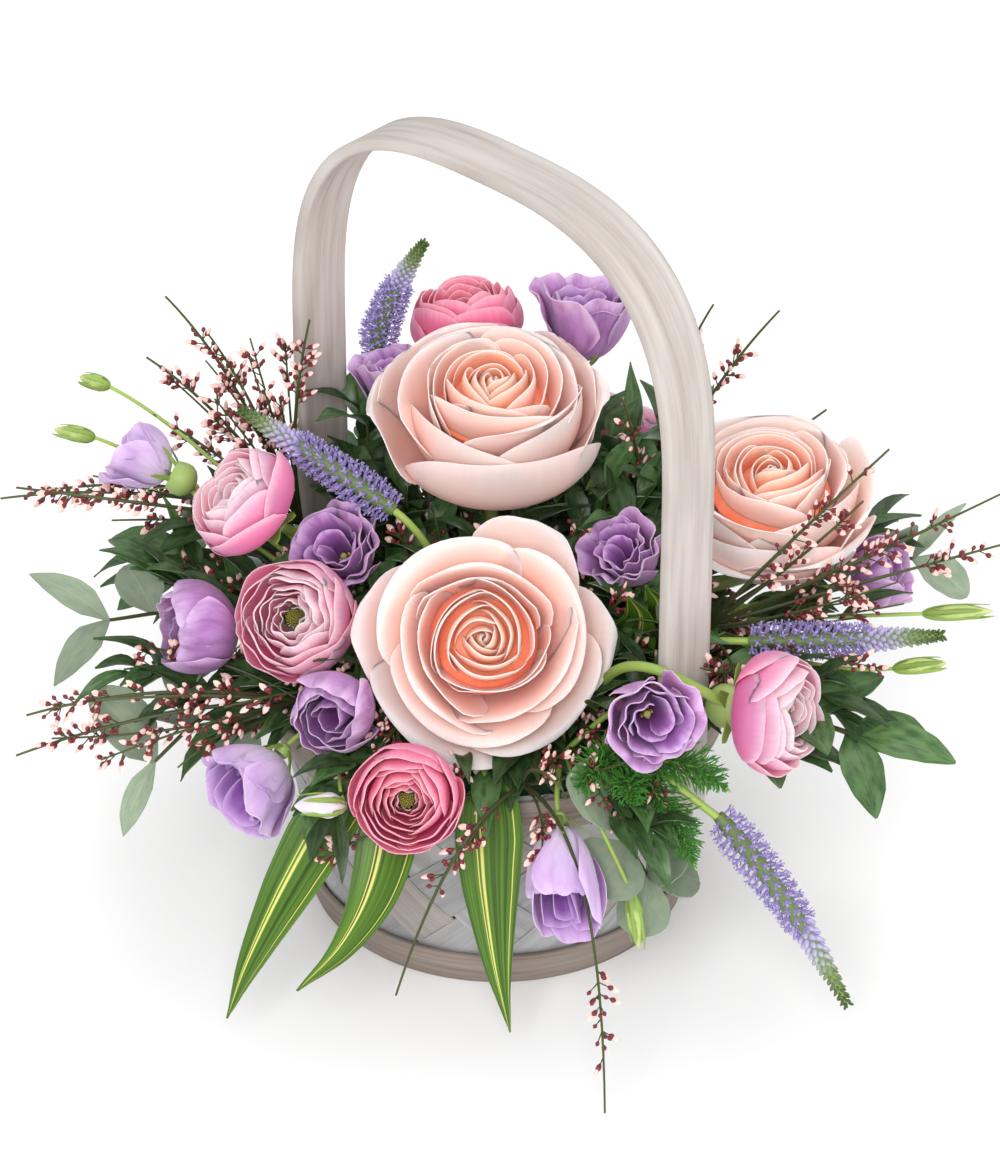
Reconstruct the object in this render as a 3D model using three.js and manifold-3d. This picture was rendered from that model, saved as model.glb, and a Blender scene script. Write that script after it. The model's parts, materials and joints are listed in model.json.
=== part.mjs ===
// A round whitewashed chip-wood basket with a tall strap handle, filled with roses, ranunculus,
// lisianthus, speedwell spikes and mixed foliage. Millimetres, +Z up. The origin is the centre of the
// basket's flat bottom, and -Y is the side that the arrangement shows.
import * as THREE from "three";
import { mergeVertices } from "three/addons/utils/BufferGeometryUtils.js";
import Module from "manifold-3d";

const wasm = await Module();
wasm.setup();

// Basket
const SIDES = 32; // facets round the wall, the hoops and the liner
const FOOT_RADIUS = 80; // outside of the wall at the surface
const RIM_RADIUS = 99; // outside of the wall at the rim
const RIM_HEIGHT = 110;
const WALL_THICK = 2.4;
const WEAVE_RELIEF = 0.9; // how far a crossing of two strips stands out of the wall
const WEAVE_ROWS = 6;
const HOOP_THICK = 2.6;
const BASE_HOOP_HEIGHT = 16;
const RIM_HOOP_HEIGHT = 18;
const BOARD_THICK = 5;
const GAP = 0.35; // between pieces that touch

// Handle
const HANDLE_TURN = -43.25; // degrees from +X to the leg at the front right
const HANDLE_REACH = 108.6; // outside of a leg from the axis
const HANDLE_TOP = 360;
const HANDLE_SHOULDER = 239; // where the straight legs pass into the arch
const HANDLE_FOOT = 84;
const HANDLE_SQUARENESS = 2.85; // exponent of the arch, 2 for an ellipse
const STRAP_WIDTH = 28;
const STRAP_THICK = 5.4;
const TACK_RADIUS = 2.4;

// Filling
const LINER_THICK = 1.2;
const LINER_TOP = 105;
const FOAM_TOP = 118;
const STEM_BOTTOM = 80; // how deep the stems stand in the foam
const PETAL_THICK = 0.8;
const LEAF_THICK = 1.0;
const CLEAR = 0.45; // least gap between a leaf or bud and any other piece

const COLOURS = {
  wash: [0xc9c1bc, 0.8],
  hoop: [0xb5a79d, 0.8],
  board: [0xb9a78f, 0.8],
  liner: [0x3c4038, 0.5],
  foam: [0x2f4a33, 0.9],
  rose: [0xf6d9cf, 0.6],
  roseGreen: [0x5c7a3a, 0.6],
  ranunculus: [0xef8fb8, 0.55],
  hotPink: [0xe4508f, 0.55],
  stem: [0x86a33f, 0.55],
  lilac: [0x9b74c9, 0.55],
  paleLilac: [0xc9aee6, 0.55],
  spike: [0x8a7cc0, 0.8],
  eucalyptus: [0x8fa79b, 0.6],
  striped: [0x4b7d2a, 0.4],
  twig: [0x59602f, 0.7],
  darkLeaf: [0x2c5a2c, 0.5],
  fern: [0x3c7a2c, 0.7],
};

const group = new THREE.Group();
const placed = []; // every solid so far, with its box, for the pieces that have to keep clear
const holes = []; // where stems stand in the foam

const rad = THREE.MathUtils.degToRad;
const at = (x, y, z) => new THREE.Vector3(x, y, z);
const wallRadius = (z) => FOOT_RADIUS + ((RIM_RADIUS - FOOT_RADIUS) * z) / RIM_HEIGHT;

// A repeatable random draw from 0 to 1.
function dice(seed) {
  let state = seed;
  return () => {
    state = (state * 16807) % 2147483647;
    return state / 2147483647;
  };
}

function solidOf(geometry) {
  const source = geometry.index ? geometry.toNonIndexed() : geometry;
  const bare = new THREE.BufferGeometry();
  bare.setAttribute("position", source.getAttribute("position"));
  const merged = mergeVertices(bare, 1e-4);
  return new wasm.Manifold(
    new wasm.Mesh({
      numProp: 3,
      vertProperties: new Float32Array(merged.attributes.position.array),
      triVerts: new Uint32Array(merged.index.array),
    }),
  );
}

// Joins solids two by two, so that no join works on a large and a small one at a time.
function fuse(solids) {
  let rest = solids;
  while (rest.length > 1) {
    const next = [];
    for (let i = 0; i < rest.length; i += 2) {
      next.push(i + 1 < rest.length ? rest[i].add(rest[i + 1]) : rest[i]);
    }
    rest = next;
  }
  return rest[0];
}

// The largest closed body of a solid, without sealed hollows and loose scraps.
function wholeBody(solid) {
  const bodies = solid.decompose().filter((body) => body.volume() > 0);
  bodies.sort((a, b) => b.volume() - a.volume());
  return bodies[0];
}

function addNode(name, solid, colour) {
  const body = wholeBody(solid);
  const mesh = body.getMesh();
  const geometry = new THREE.BufferGeometry();
  const corners = new Float32Array(mesh.numVert * 3);
  for (let i = 0; i < mesh.numVert; i += 1) {
    corners.set(mesh.vertProperties.subarray(i * mesh.numProp, i * mesh.numProp + 3), i * 3);
  }
  geometry.setAttribute("position", new THREE.BufferAttribute(corners, 3));
  geometry.setIndex(new THREE.BufferAttribute(new Uint32Array(mesh.triVerts), 1));
  geometry.computeVertexNormals();
  const [color, roughness] = COLOURS[colour];
  const material = new THREE.MeshStandardMaterial({ color, roughness, metalness: 0, flatShading: true });
  const node = new THREE.Mesh(geometry, material);
  node.name = name;
  group.add(node);
  placed.push({ body, box: body.boundingBox() });
}

// True when a solid keeps its distance from everything placed so far.
function isClear(solid) {
  const box = solid.boundingBox();
  return placed.every((other) => {
    for (let axis = 0; axis < 3; axis += 1) {
      if (box.min[axis] > other.box.max[axis] + CLEAR) return true;
      if (box.max[axis] < other.box.min[axis] - CLEAR) return true;
    }
    return solid.minGap(other.body, CLEAR) >= CLEAR;
  });
}

const onlyClear = (solids) => solids.filter(isClear);

function geometryOf(triangles) {
  const flat = [];
  for (const [a, b, c] of triangles) {
    if (a.distanceTo(b) < 1e-4 || b.distanceTo(c) < 1e-4 || c.distanceTo(a) < 1e-4) continue;
    flat.push(...a.toArray(), ...b.toArray(), ...c.toArray());
  }
  const geometry = new THREE.BufferGeometry();
  geometry.setAttribute("position", new THREE.Float32BufferAttribute(flat, 3));
  return geometry;
}

// Rings of points joined into one closed body, with a fan over each end.
function skinOf(rings) {
  const triangles = [];
  const count = rings[0].length;
  for (let i = 0; i + 1 < rings.length; i += 1) {
    for (let j = 0; j < count; j += 1) {
      const k = (j + 1) % count;
      triangles.push([rings[i][j], rings[i][k], rings[i + 1][k]]);
      triangles.push([rings[i][j], rings[i + 1][k], rings[i + 1][j]]);
    }
  }
  const first = rings[0];
  const last = rings[rings.length - 1];
  for (let j = 1; j + 1 < count; j += 1) {
    triangles.push([first[0], first[j + 1], first[j]]);
    triangles.push([last[0], last[j], last[j + 1]]);
  }
  return solidOf(geometryOf(triangles));
}

// A rod along points, its section turned as little as possible from one point to the next.
function rod(points, radiusAt, sides) {
  const aside = at(0.31, 0.62, 0.72);
  const rings = points.map((point, i) => {
    const ahead = points[Math.min(i + 1, points.length - 1)].clone();
    const along = ahead.sub(points[Math.max(i - 1, 0)]).normalize();
    aside.addScaledVector(along, -aside.dot(along)).normalize();
    const across = along.clone().cross(aside);
    return Array.from({ length: sides }, (_, j) => {
      const turn = (2 * Math.PI * j) / sides;
      const radius = radiusAt(i / (points.length - 1), i, j);
      return point
        .clone()
        .addScaledVector(aside, radius * Math.cos(turn))
        .addScaledVector(across, radius * Math.sin(turn));
    });
  });
  return skinOf(rings);
}

// A thin curved sheet: pointAt gives its middle surface, from foot (s = 0) to lip (s = 1) and from one
// side (v = -1) to the other (v = 1). Both faces are split alike.
function sheet(pointAt, rows, columns, thick) {
  const step = 1e-3;
  const faces = [0.5, -0.5].map((side) =>
    Array.from({ length: rows + 1 }, (_, i) =>
      Array.from({ length: columns + 1 }, (_, j) => {
        const s = i / rows;
        const v = (2 * j) / columns - 1;
        const along = pointAt(Math.min(s + step, 1), v).sub(pointAt(Math.max(s - step, 0), v));
        const wide = Math.min(s, 0.97);
        const across = pointAt(wide, Math.min(v + step, 1)).sub(pointAt(wide, Math.max(v - step, -1)));
        const out = along.cross(across).normalize();
        return pointAt(s, v).addScaledVector(out, side * thick);
      }),
    ),
  );
  const [top, under] = faces;
  const triangles = [];
  for (let i = 0; i < rows; i += 1) {
    for (let j = 0; j < columns; j += 1) {
      triangles.push([top[i][j], top[i + 1][j], top[i + 1][j + 1]]);
      triangles.push([top[i][j], top[i + 1][j + 1], top[i][j + 1]]);
      triangles.push([under[i][j], under[i + 1][j + 1], under[i + 1][j]]);
      triangles.push([under[i][j], under[i][j + 1], under[i + 1][j + 1]]);
    }
  }
  const rim = [];
  for (let j = 0; j < columns; j += 1) rim.push([0, j]);
  for (let i = 0; i < rows; i += 1) rim.push([i, columns]);
  for (let j = columns; j > 0; j -= 1) rim.push([rows, j]);
  for (let i = rows; i > 0; i -= 1) rim.push([i, 0]);
  rim.forEach(([i, j], n) => {
    const [k, l] = rim[(n + 1) % rim.length];
    triangles.push([top[i][j], top[k][l], under[k][l]]);
    triangles.push([top[i][j], under[k][l], under[i][j]]);
  });
  return solidOf(geometryOf(triangles));
}

function lathe(profile, sides) {
  const outline = profile.map(([r, z]) => new THREE.Vector2(r, z));
  const geometry = new THREE.LatheGeometry(outline, sides);
  geometry.rotateX(Math.PI / 2);
  const solid = solidOf(geometry);
  return solid.volume() < 0 ? solidOf(flipped(geometry)) : solid;
}

function flipped(geometry) {
  const turned = geometry.index ? geometry.toNonIndexed() : geometry;
  const position = turned.getAttribute("position");
  const triangles = [];
  const corner = (i) => new THREE.Vector3().fromBufferAttribute(position, i);
  for (let i = 0; i < position.count; i += 3) {
    triangles.push([corner(i), corner(i + 2), corner(i + 1)]);
  }
  return geometryOf(triangles);
}

const moved = (solid, matrix) => solid.transform(matrix.elements);

// The wall: strips plaited on the slant, so each crossing stands out and each gap between lies deeper.
function basketWall() {
  const foot = 0.6;
  const ringPoint = (radius, column, z) => {
    const turn = (Math.PI * 2 * column) / SIDES;
    return at(radius * Math.cos(turn), radius * Math.sin(turn), z);
  };
  const outer = (column, row) => {
    const z = foot + ((RIM_HEIGHT - foot) * row) / WEAVE_ROWS;
    const raised = (column + row) % 2 === 1 && row > 0 && row < WEAVE_ROWS;
    return ringPoint(wallRadius(z) - (raised ? 0 : WEAVE_RELIEF), column, z);
  };
  const inner = (column, z) => ringPoint(wallRadius(z) - WALL_THICK, column, z);
  const triangles = [];
  for (let column = 0; column < SIDES; column += 1) {
    const next = column + 1;
    for (let row = column % 2 === 0 ? 1 : 0; row <= WEAVE_ROWS; row += 2) {
      const centre = outer(column, row);
      const left = outer(column + SIDES - 1, row);
      const right = outer(next, row);
      if (row < WEAVE_ROWS) {
        const up = outer(column, row + 1);
        triangles.push([centre, right, up], [centre, up, left]);
      }
      if (row > 0) {
        const down = outer(column, row - 1);
        triangles.push([centre, left, down], [centre, down, right]);
      }
    }
    triangles.push([inner(column, foot), inner(column, RIM_HEIGHT), inner(next, RIM_HEIGHT)]);
    triangles.push([inner(column, foot), inner(next, RIM_HEIGHT), inner(next, foot)]);
    triangles.push([inner(column, foot), inner(next, foot), outer(next, 0)]);
    triangles.push([inner(column, foot), outer(next, 0), outer(column, 0)]);
    const [low, high] = [outer(column, WEAVE_ROWS), outer(next, WEAVE_ROWS)];
    triangles.push([inner(column, RIM_HEIGHT), low, high]);
    triangles.push([inner(column, RIM_HEIGHT), high, inner(next, RIM_HEIGHT)]);
  }
  return solidOf(geometryOf(triangles));
}

// A flat band of wood bent round the wall.
function hoop(low, high) {
  const inside = wallRadius(high) + GAP + 0.3;
  const outside = inside + HOOP_THICK;
  const flare = wallRadius(high) - wallRadius(low);
  return lathe(
    [
      [inside - flare, low],
      [outside - flare, low],
      [outside, high],
      [inside, high],
      [inside - flare, low],
    ],
    SIDES,
  );
}

function baseBoard() {
  const radius = wallRadius(0) - WALL_THICK - GAP;
  return lathe(
    [
      [0, 0],
      [radius - 0.4, 0],
      [radius, BOARD_THICK],
      [0, BOARD_THICK],
    ],
    SIDES,
  );
}

// The strap: a bent board whose outline is a squared arch on two straight legs.
function handle() {
  const outline = (reach, top) => {
    const points = [new THREE.Vector2(reach, HANDLE_FOOT)];
    const steps = 16;
    for (let i = 0; i <= steps; i += 1) {
      const turn = (Math.PI * i) / steps;
      const power = 2 / HANDLE_SQUARENESS;
      const x = Math.sign(Math.cos(turn)) * Math.abs(Math.cos(turn)) ** power * reach;
      const rise = Math.sin(turn) ** power * (top - HANDLE_SHOULDER);
      points.push(new THREE.Vector2(x, HANDLE_SHOULDER + rise));
    }
    points.push(new THREE.Vector2(-reach, HANDLE_FOOT));
    return points;
  };
  const outer = outline(HANDLE_REACH, HANDLE_TOP);
  const inner = outline(HANDLE_REACH - STRAP_THICK, HANDLE_TOP - STRAP_THICK).reverse();
  const board = new THREE.ExtrudeGeometry(new THREE.Shape([...outer, ...inner]), {
    depth: STRAP_WIDTH,
    bevelEnabled: false,
  });
  board.translate(0, 0, -STRAP_WIDTH / 2);
  board.rotateX(Math.PI / 2);
  const pieces = [solidOf(board)];
  for (const side of [-1, 1]) {
    for (const across of [-7, 7]) {
      const tack = new THREE.CylinderGeometry(TACK_RADIUS * 0.5, TACK_RADIUS, 2.4, 5);
      tack.rotateZ((-side * Math.PI) / 2);
      tack.translate(side * HANDLE_REACH, across, RIM_HEIGHT - RIM_HOOP_HEIGHT / 2);
      pieces.push(solidOf(tack));
    }
  }
  return moved(fuse(pieces), new THREE.Matrix4().makeRotationZ(rad(HANDLE_TURN)));
}

function liner() {
  const bottom = BOARD_THICK + GAP;
  const outside = (z) => wallRadius(z) - WALL_THICK - GAP - 1;
  return lathe(
    [
      [0, bottom],
      [outside(bottom), bottom],
      [outside(LINER_TOP), LINER_TOP],
      [outside(LINER_TOP) - LINER_THICK, LINER_TOP],
      [outside(bottom) - LINER_THICK, bottom + LINER_THICK],
      [0, bottom + LINER_THICK],
    ],
    SIDES,
  );
}

function foamBlock() {
  const bottom = BOARD_THICK + GAP + LINER_THICK + GAP;
  const radius = (z) => wallRadius(z) - WALL_THICK - GAP - 1 - LINER_THICK - GAP - 0.8;
  const shoulder = 6;
  return lathe(
    [
      [0, bottom],
      [radius(bottom), bottom],
      [radius(LINER_TOP), LINER_TOP],
      [radius(LINER_TOP), FOAM_TOP - shoulder],
      [radius(LINER_TOP) - shoulder, FOAM_TOP],
      [0, FOAM_TOP],
    ],
    14,
  );
}

// The place of a bloom: local +Z is the way it faces, turned from +X and tilted from upright.
function facing(seat, turn, tilt, spin = 0) {
  return new THREE.Matrix4()
    .makeTranslation(...seat)
    .multiply(new THREE.Matrix4().makeRotationZ(rad(turn)))
    .multiply(new THREE.Matrix4().makeRotationY(rad(tilt)))
    .multiply(new THREE.Matrix4().makeRotationZ(rad(spin)));
}

function axisOf(turn, tilt) {
  const flat = Math.sin(rad(tilt));
  return at(flat * Math.cos(rad(turn)), flat * Math.sin(rad(turn)), Math.cos(rad(tilt)));
}

function bezier(points, t) {
  const u = 1 - t;
  const weights = [u * u * u, 3 * u * u * t, 3 * u * t * t, t * t * t];
  return [0, 1].map((axis) => weights.reduce((sum, w, i) => sum + w * points[i][axis], 0));
}

// One petal of a ring: a patch round the bloom's axis whose rise is a curve of radius and height.
// Its foot is a narrow claw, and slip sets one side further out than the other, so that neighbours
// lap without crossing.
function petal(ring, index) {
  const middle = (index / ring.count) * 2 * Math.PI;
  const surface = (s, v) => {
    const t = s * (1 - ring.round * Math.abs(v) ** 1.3);
    const [radius, height] = bezier(ring.rise, t);
    const claw = 0.5 + 0.5 * Math.min(1, t / 0.5);
    const turn = middle + v * rad(ring.half) * claw;
    const reach = radius + ring.slip * v * Math.sqrt(Math.max(t, 0));
    return at(reach * Math.cos(turn), reach * Math.sin(turn), height);
  };
  return sheet(surface, ring.rows, ring.columns, PETAL_THICK);
}

// Whorls of lobes, one inside the other, as one body: its section runs up the outside of each whorl,
// over the lip and down to the next. Each row is [radius, height, share of the lobing, lobes, phase].
// The share sets how far a row dips between two lobes, and side swings each lobe out at one side.
function whorls(rows, columns, dip, side) {
  const rings = rows.map(([radius, height, share = 0, lobes = 5, phase = 0]) =>
    Array.from({ length: columns }, (_, j) => {
      const turn = (2 * Math.PI * j) / columns;
      const across = ((((turn / (2 * Math.PI)) * lobes + phase) % 1) + 1) % 1;
      const dent = share * dip * Math.abs(2 * across - 1) ** 1.6;
      const swing = share * side * (across - 0.5);
      return at((radius + swing) * Math.cos(turn), (radius + swing) * Math.sin(turn), height - dent);
    }),
  );
  return skinOf(rings);
}

const sized = (place, size) => place.clone().multiply(new THREE.Matrix4().makeScale(size, size, size));

const ROSE_GUARD = {
  count: 5,
  half: 44,
  rise: [[6, 3], [36, -2], [40, 26], [52, 24]],
  rows: 3,
  columns: 3,
  round: 0.2,
  slip: 1.6,
};

const ROSE_HEART = [
  [7, 0],
  [10, 4],
  [29, 10, 0.1, 4],
  [36, 24, 0.5, 4],
  [44, 34, 1, 4],
  [43, 34.8, 1, 4],
  [33, 24, 0.5, 4],
  [25, 17, 0, 4],
  [27, 30, 0.5, 4, 0.5],
  [33, 42, 1, 4, 0.5],
  [32, 42.8, 1, 4, 0.5],
  [23, 30, 0.4, 4, 0.5],
  [17, 26, 0, 4],
  [22, 49, 1, 3, 0.2],
  [21, 49.8, 1, 3, 0.2],
  [13, 38, 0, 3],
  [10, 50, 0.4, 3, 0.7],
  [8.5, 50.5, 0.4, 3, 0.7],
  [5, 46, 0, 3],
];

const RANUNCULUS = [
  [6, 0],
  [17, 1.5],
  [24, 9, 0.2],
  [25, 24, 1],
  [24, 24.8, 1],
  [20, 12, 0.2],
  [16.5, 12, 0],
  [19, 27, 1, 5, 0.5],
  [18, 27.8, 1, 5, 0.5],
  [14, 17, 0.2, 5],
  [12.5, 28.5, 0.8, 5],
  [11, 28, 0.8, 5],
  [8.5, 21, 0, 5],
  [6.5, 26.5, 0.5, 5, 0.5],
  [4, 21, 0, 5],
];

const lisianthus = (lip, length, belly) => [
  [5, 0],
  [belly, 0.25 * length, 0.1],
  [belly * 1.02, 0.62 * length, 0.4],
  [lip, length, 1],
  [lip - 1.1, length + 0.3, 1],
  [belly - 0.2, 0.62 * length, 0.4],
  [belly - 1.2, 0.28 * length, 0.1],
  [3, 4],
];

function rosePetals(place, size) {
  const guards = Array.from({ length: ROSE_GUARD.count }, (_, index) => petal(ROSE_GUARD, index));
  return moved(fuse([whorls(ROSE_HEART, 12, 7, 5), fuse(guards)]), sized(place, size));
}

// The top of a stem: a star of five sepals on a cone, its flat top just short of the petals.
function calyx(place, wide, length, droop) {
  const apex = (height) => Array.from({ length: 10 }, () => at(0, 0, height));
  const star = Array.from({ length: 10 }, (_, i) => {
    const turn = (Math.PI * i) / 5;
    const reach = i % 2 ? wide : wide + length;
    return at(reach * Math.cos(turn), reach * Math.sin(turn), i % 2 ? -1.6 : -1.8 - droop);
  });
  return moved(skinOf([apex(-9 - droop), star, apex(-GAP)]), place);
}

const point = (xyz) => at(...xyz);

// A stem: straight down in its hole in the foam, then one bend to its end. The bend leaves the foam
// upright and reaches the end along the given direction.
function stemPath(foot, end, along, { steps = 4, lift = 0.35, reach = 0.35, bend } = {}) {
  const start = at(foot[0], foot[1], FOAM_TOP + 3);
  const span = start.distanceTo(end);
  const first = bend ? point(bend[0]) : start.clone().add(at(0, 0, Math.min(span * lift, 30)));
  const second = bend ? point(bend[1]) : end.clone().addScaledVector(along, -span * reach);
  const curve = new THREE.CubicBezierCurve3(start, first, second, end);
  return [at(foot[0], foot[1], STEM_BOTTOM), ...curve.getPoints(steps)];
}

function stem(foot, end, along, radius, options) {
  holes.push([foot, radius]);
  return rod(stemPath(foot, end, along, options), () => radius, 4);
}

// A side shoot from one point to another that it reaches along a direction.
function shoot(from, end, along, radius, via) {
  const span = from.distanceTo(end);
  const middle = via ? point(via) : end.clone().addScaledVector(along, -span * 0.4);
  return rod(new THREE.QuadraticBezierCurve3(from, middle, end).getPoints(4), () => radius, 3);
}

// The way from a foot in the foam to the fork above it, seen from above, with a given rise.
const towards = (foot, fork, rise) => at(fork[0] - foot[0], fork[1] - foot[1], rise).normalize();

const footOf = (seat) => {
  const reach = Math.hypot(seat[0], seat[1]);
  const kept = Math.min(reach * 0.5, 64) / Math.max(reach, 1);
  return [seat[0] * kept, seat[1] * kept];
};

// Each rose: its seat (the foot of the petals), turn and tilt of the way it faces, size, foot in foam.
const ROSES = [
  { name: "front", seat: [-6, -44, 151], turn: -90, tilt: 52, size: 1, foot: [-4, -20] },
  { name: "back", seat: [-3, 44, 187], turn: -82, tilt: 22, size: 0.96, foot: [-2, 30] },
  { name: "right", seat: [118, 20, 160], turn: 30, tilt: 12, size: 0.88, foot: [58, 12] },
];

const RANUNCULI = [
  {
    name: "left_upper",
    seat: [-97, 4, 182],
    turn: -170,
    tilt: 45,
    size: 0.98,
    colour: "ranunculus",
    foot: [-48, 24],
    options: { bend: [[-50, 30, 140], [-84, 36, 152]] },
  },
  { name: "left_lower", seat: [-80, -30, 152], turn: -112, tilt: 50, size: 1.02, colour: "ranunculus" },
  {
    name: "front",
    seat: [-36, -112, 125],
    turn: -95,
    tilt: 66,
    size: 0.9,
    colour: "hotPink",
    foot: [-32, -66],
    options: { lift: 0.05 },
  },
  {
    name: "right",
    seat: [101, -84, 147],
    turn: -8,
    tilt: 82,
    size: 1.06,
    colour: "ranunculus",
    foot: [40, -54],
    options: { bend: [[44, -86, 190], [74, -108, 178]], steps: 7 },
  },
  {
    name: "back_upper",
    seat: [-12, 106, 203],
    turn: 120,
    tilt: 15,
    size: 0.94,
    colour: "hotPink",
    foot: [-20, 66],
  },
  { name: "back_lower", seat: [46, 100, 150], turn: 66, tilt: 50, size: 0.96, colour: "ranunculus" },
];

// Each lisianthus: lip and belly are radii of its cup, and length is how deep the cup is.
const LISIANTHUS = [
  {
    name: "left_pale",
    seat: [-141, 37, 184],
    turn: 165,
    tilt: 68,
    lip: 14,
    length: 26,
    belly: 12,
    colour: "paleLilac",
    via: [-118, 42, 148],
  },
  {
    name: "left_inner",
    seat: [-62, 8, 156],
    turn: -120,
    tilt: 40,
    lip: 19,
    length: 30,
    belly: 14,
    colour: "lilac",
  },
  {
    name: "left_outer",
    seat: [-110, -22, 143],
    turn: -165,
    tilt: 80,
    lip: 13,
    length: 33,
    belly: 18,
    colour: "lilac",
  },
  {
    name: "lower_left",
    seat: [-94, -74, 112],
    turn: -150,
    tilt: 118,
    lip: 22,
    length: 35,
    belly: 17,
    colour: "paleLilac",
  },
  {
    name: "centre_left",
    seat: [-62, -64, 138],
    turn: -110,
    tilt: 78,
    lip: 13,
    length: 30,
    belly: 16,
    colour: "lilac",
  },
  {
    name: "front_hanging",
    seat: [25, -119, 113],
    turn: -90,
    tilt: 168,
    lip: 13,
    length: 48,
    belly: 14,
    colour: "paleLilac",
  },
  {
    name: "front_right",
    seat: [64, -100, 158],
    turn: -72,
    tilt: 78,
    lip: 21,
    length: 26,
    belly: 15,
    colour: "lilac",
  },
  {
    name: "centre_right",
    seat: [62, -4, 160],
    turn: -130,
    tilt: 28,
    lip: 19,
    length: 32,
    belly: 14,
    colour: "lilac",
  },
  {
    name: "right_outer",
    seat: [150, 4, 150],
    turn: -12,
    tilt: 66,
    lip: 12,
    length: 26,
    belly: 12,
    colour: "lilac",
  },
  {
    name: "back_top",
    seat: [36, 94, 206],
    turn: 60,
    tilt: 12,
    lip: 21,
    length: 34,
    belly: 15,
    colour: "lilac",
  },
  {
    name: "back_left",
    seat: [-41, 74, 190],
    turn: 130,
    tilt: 20,
    lip: 15,
    length: 30,
    belly: 13,
    colour: "lilac",
  },
];

// The green of the lisianthus: a stem that forks over the foam, a side shoot to each bloom and bud.
// A bud is given by its middle, the way it points and its length.
const SPRAYS = [
  {
    name: "left",
    foot: [-38, 4],
    fork: [-60, 5, 134],
    blooms: ["left_pale", "left_inner", "left_outer"],
    buds: [
      { at: [-184, 60, 190], turn: 175, tilt: 80, length: 18, via: [-120, 24, 140] },
      { at: [-176, 80, 204], turn: 170, tilt: 75, length: 14, via: [-120, 32, 138] },
    ],
  },
  {
    name: "lower_left",
    foot: [-44, -46],
    fork: [-54, -56, 124],
    blooms: ["lower_left", "centre_left"],
    buds: [{ at: [-73, -121, 124], turn: -165, tilt: 80, length: 22, via: [-72, -84, 119] }],
  },
  {
    name: "front",
    foot: [26, -66],
    fork: [27, -84, 123],
    blooms: ["front_hanging", "front_right"],
    buds: [{ at: [57, -131, 72], turn: -60, tilt: 165, length: 26, via: [40, -142, 134] }],
  },
  {
    name: "right",
    foot: [42, -8],
    fork: [82, -8, 138],
    blooms: ["centre_right", "right_outer"],
    buds: [
      { at: [196, -16, 148], turn: -5, tilt: 84, length: 30 },
      { at: [176, -64, 154], turn: -20, tilt: 70, length: 24 },
    ],
  },
  { name: "back", foot: [10, 56], fork: [10, 60, 140], blooms: ["back_top", "back_left"], buds: [] },
];

// Speedwell spikes: the stem's foot, where the florets begin, where they bend, and the tip.
const SPIKES = [
  {
    name: "upper_left",
    foot: [-26, 60],
    base: [-54, 100, 206],
    middle: [-50, 103, 232],
    tip: [-32, 106, 259],
    thick: 6,
  },
  {
    name: "left",
    foot: [-22, 8],
    base: [-44, 2, 188],
    middle: [-78, 18, 206],
    tip: [-110, 38, 216],
    thick: 6.5,
  },
  {
    name: "right",
    foot: [50, -26],
    base: [106, -36, 147],
    middle: [146, -42, 151],
    tip: [187, -46, 157],
    thick: 6.5,
  },
  {
    name: "lower_right",
    foot: [50, -58],
    base: [91, -112, 112],
    middle: [122, -126, 80],
    tip: [146, -140, 34],
    thick: 7,
    options: { bend: [[50, -86, 134], [72, -112, 128]] },
  },
  {
    name: "back",
    foot: [44, 62],
    base: [84, 92, 142],
    middle: [108, 122, 140],
    tip: [126, 152, 122],
    thick: 6,
  },
];

function placeBlooms() {
  for (const { name, seat, turn, tilt, size } of ROSES) {
    addNode("rose_" + name + "_petals", rosePetals(facing(seat, turn, tilt, 15), size), "rose");
  }
  for (const { name, seat, turn, tilt, size, colour } of RANUNCULI) {
    const place = sized(facing(seat, turn, tilt), size);
    addNode("ranunculus_" + name + "_petals", moved(whorls(RANUNCULUS, 10, 6, 3), place), colour);
  }
  for (const { name, seat, turn, tilt, lip, length, belly, colour } of LISIANTHUS) {
    const cup = whorls(lisianthus(lip, length, belly), 10, length * 0.3, 3);
    addNode("lisianthus_" + name + "_petals", moved(cup, facing(seat, turn, tilt, 20)), colour);
  }
}

function stemmed({ seat, turn, tilt, foot, options }, wide, length, droop, radius) {
  const axis = axisOf(turn, tilt);
  const end = point(seat).addScaledVector(axis, -5);
  const pieces = [
    calyx(facing(seat, turn, tilt), wide, length, droop),
    stem(foot ?? footOf(seat), end, axis, radius, options),
  ];
  return fuse(pieces);
}

function bud({ at: middle, turn, tilt, length }) {
  const axis = axisOf(turn, tilt);
  const widths = [1.26, 3.24, 3.6, 0.54];
  const points = [-0.5, -0.25, 0.1, 0.5].map((t) => point(middle).addScaledVector(axis, t * length));
  return rod(points, (_, i) => widths[i], 4);
}

function spray({ name, foot, fork, blooms, buds }) {
  const start = point(fork);
  const pieces = [stem(foot, start, towards(foot, fork, 20), 1.9, { steps: 3 })];
  for (const { name: bloomName, seat, turn, tilt, via } of LISIANTHUS) {
    if (!blooms.includes(bloomName)) continue;
    const axis = axisOf(turn, tilt);
    pieces.push(calyx(facing(seat, turn, tilt), 4, 8, 1));
    pieces.push(shoot(start, point(seat).addScaledVector(axis, -5), axis, 1.4, via));
  }
  for (const one of buds) {
    const axis = axisOf(one.turn, one.tilt);
    pieces.push(bud(one));
    pieces.push(shoot(start, point(one.at).addScaledVector(axis, -0.4 * one.length), axis, 1.1, one.via));
  }
  addNode("lisianthus_" + name + "_green", fuse(pieces), "stem");
}

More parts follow.
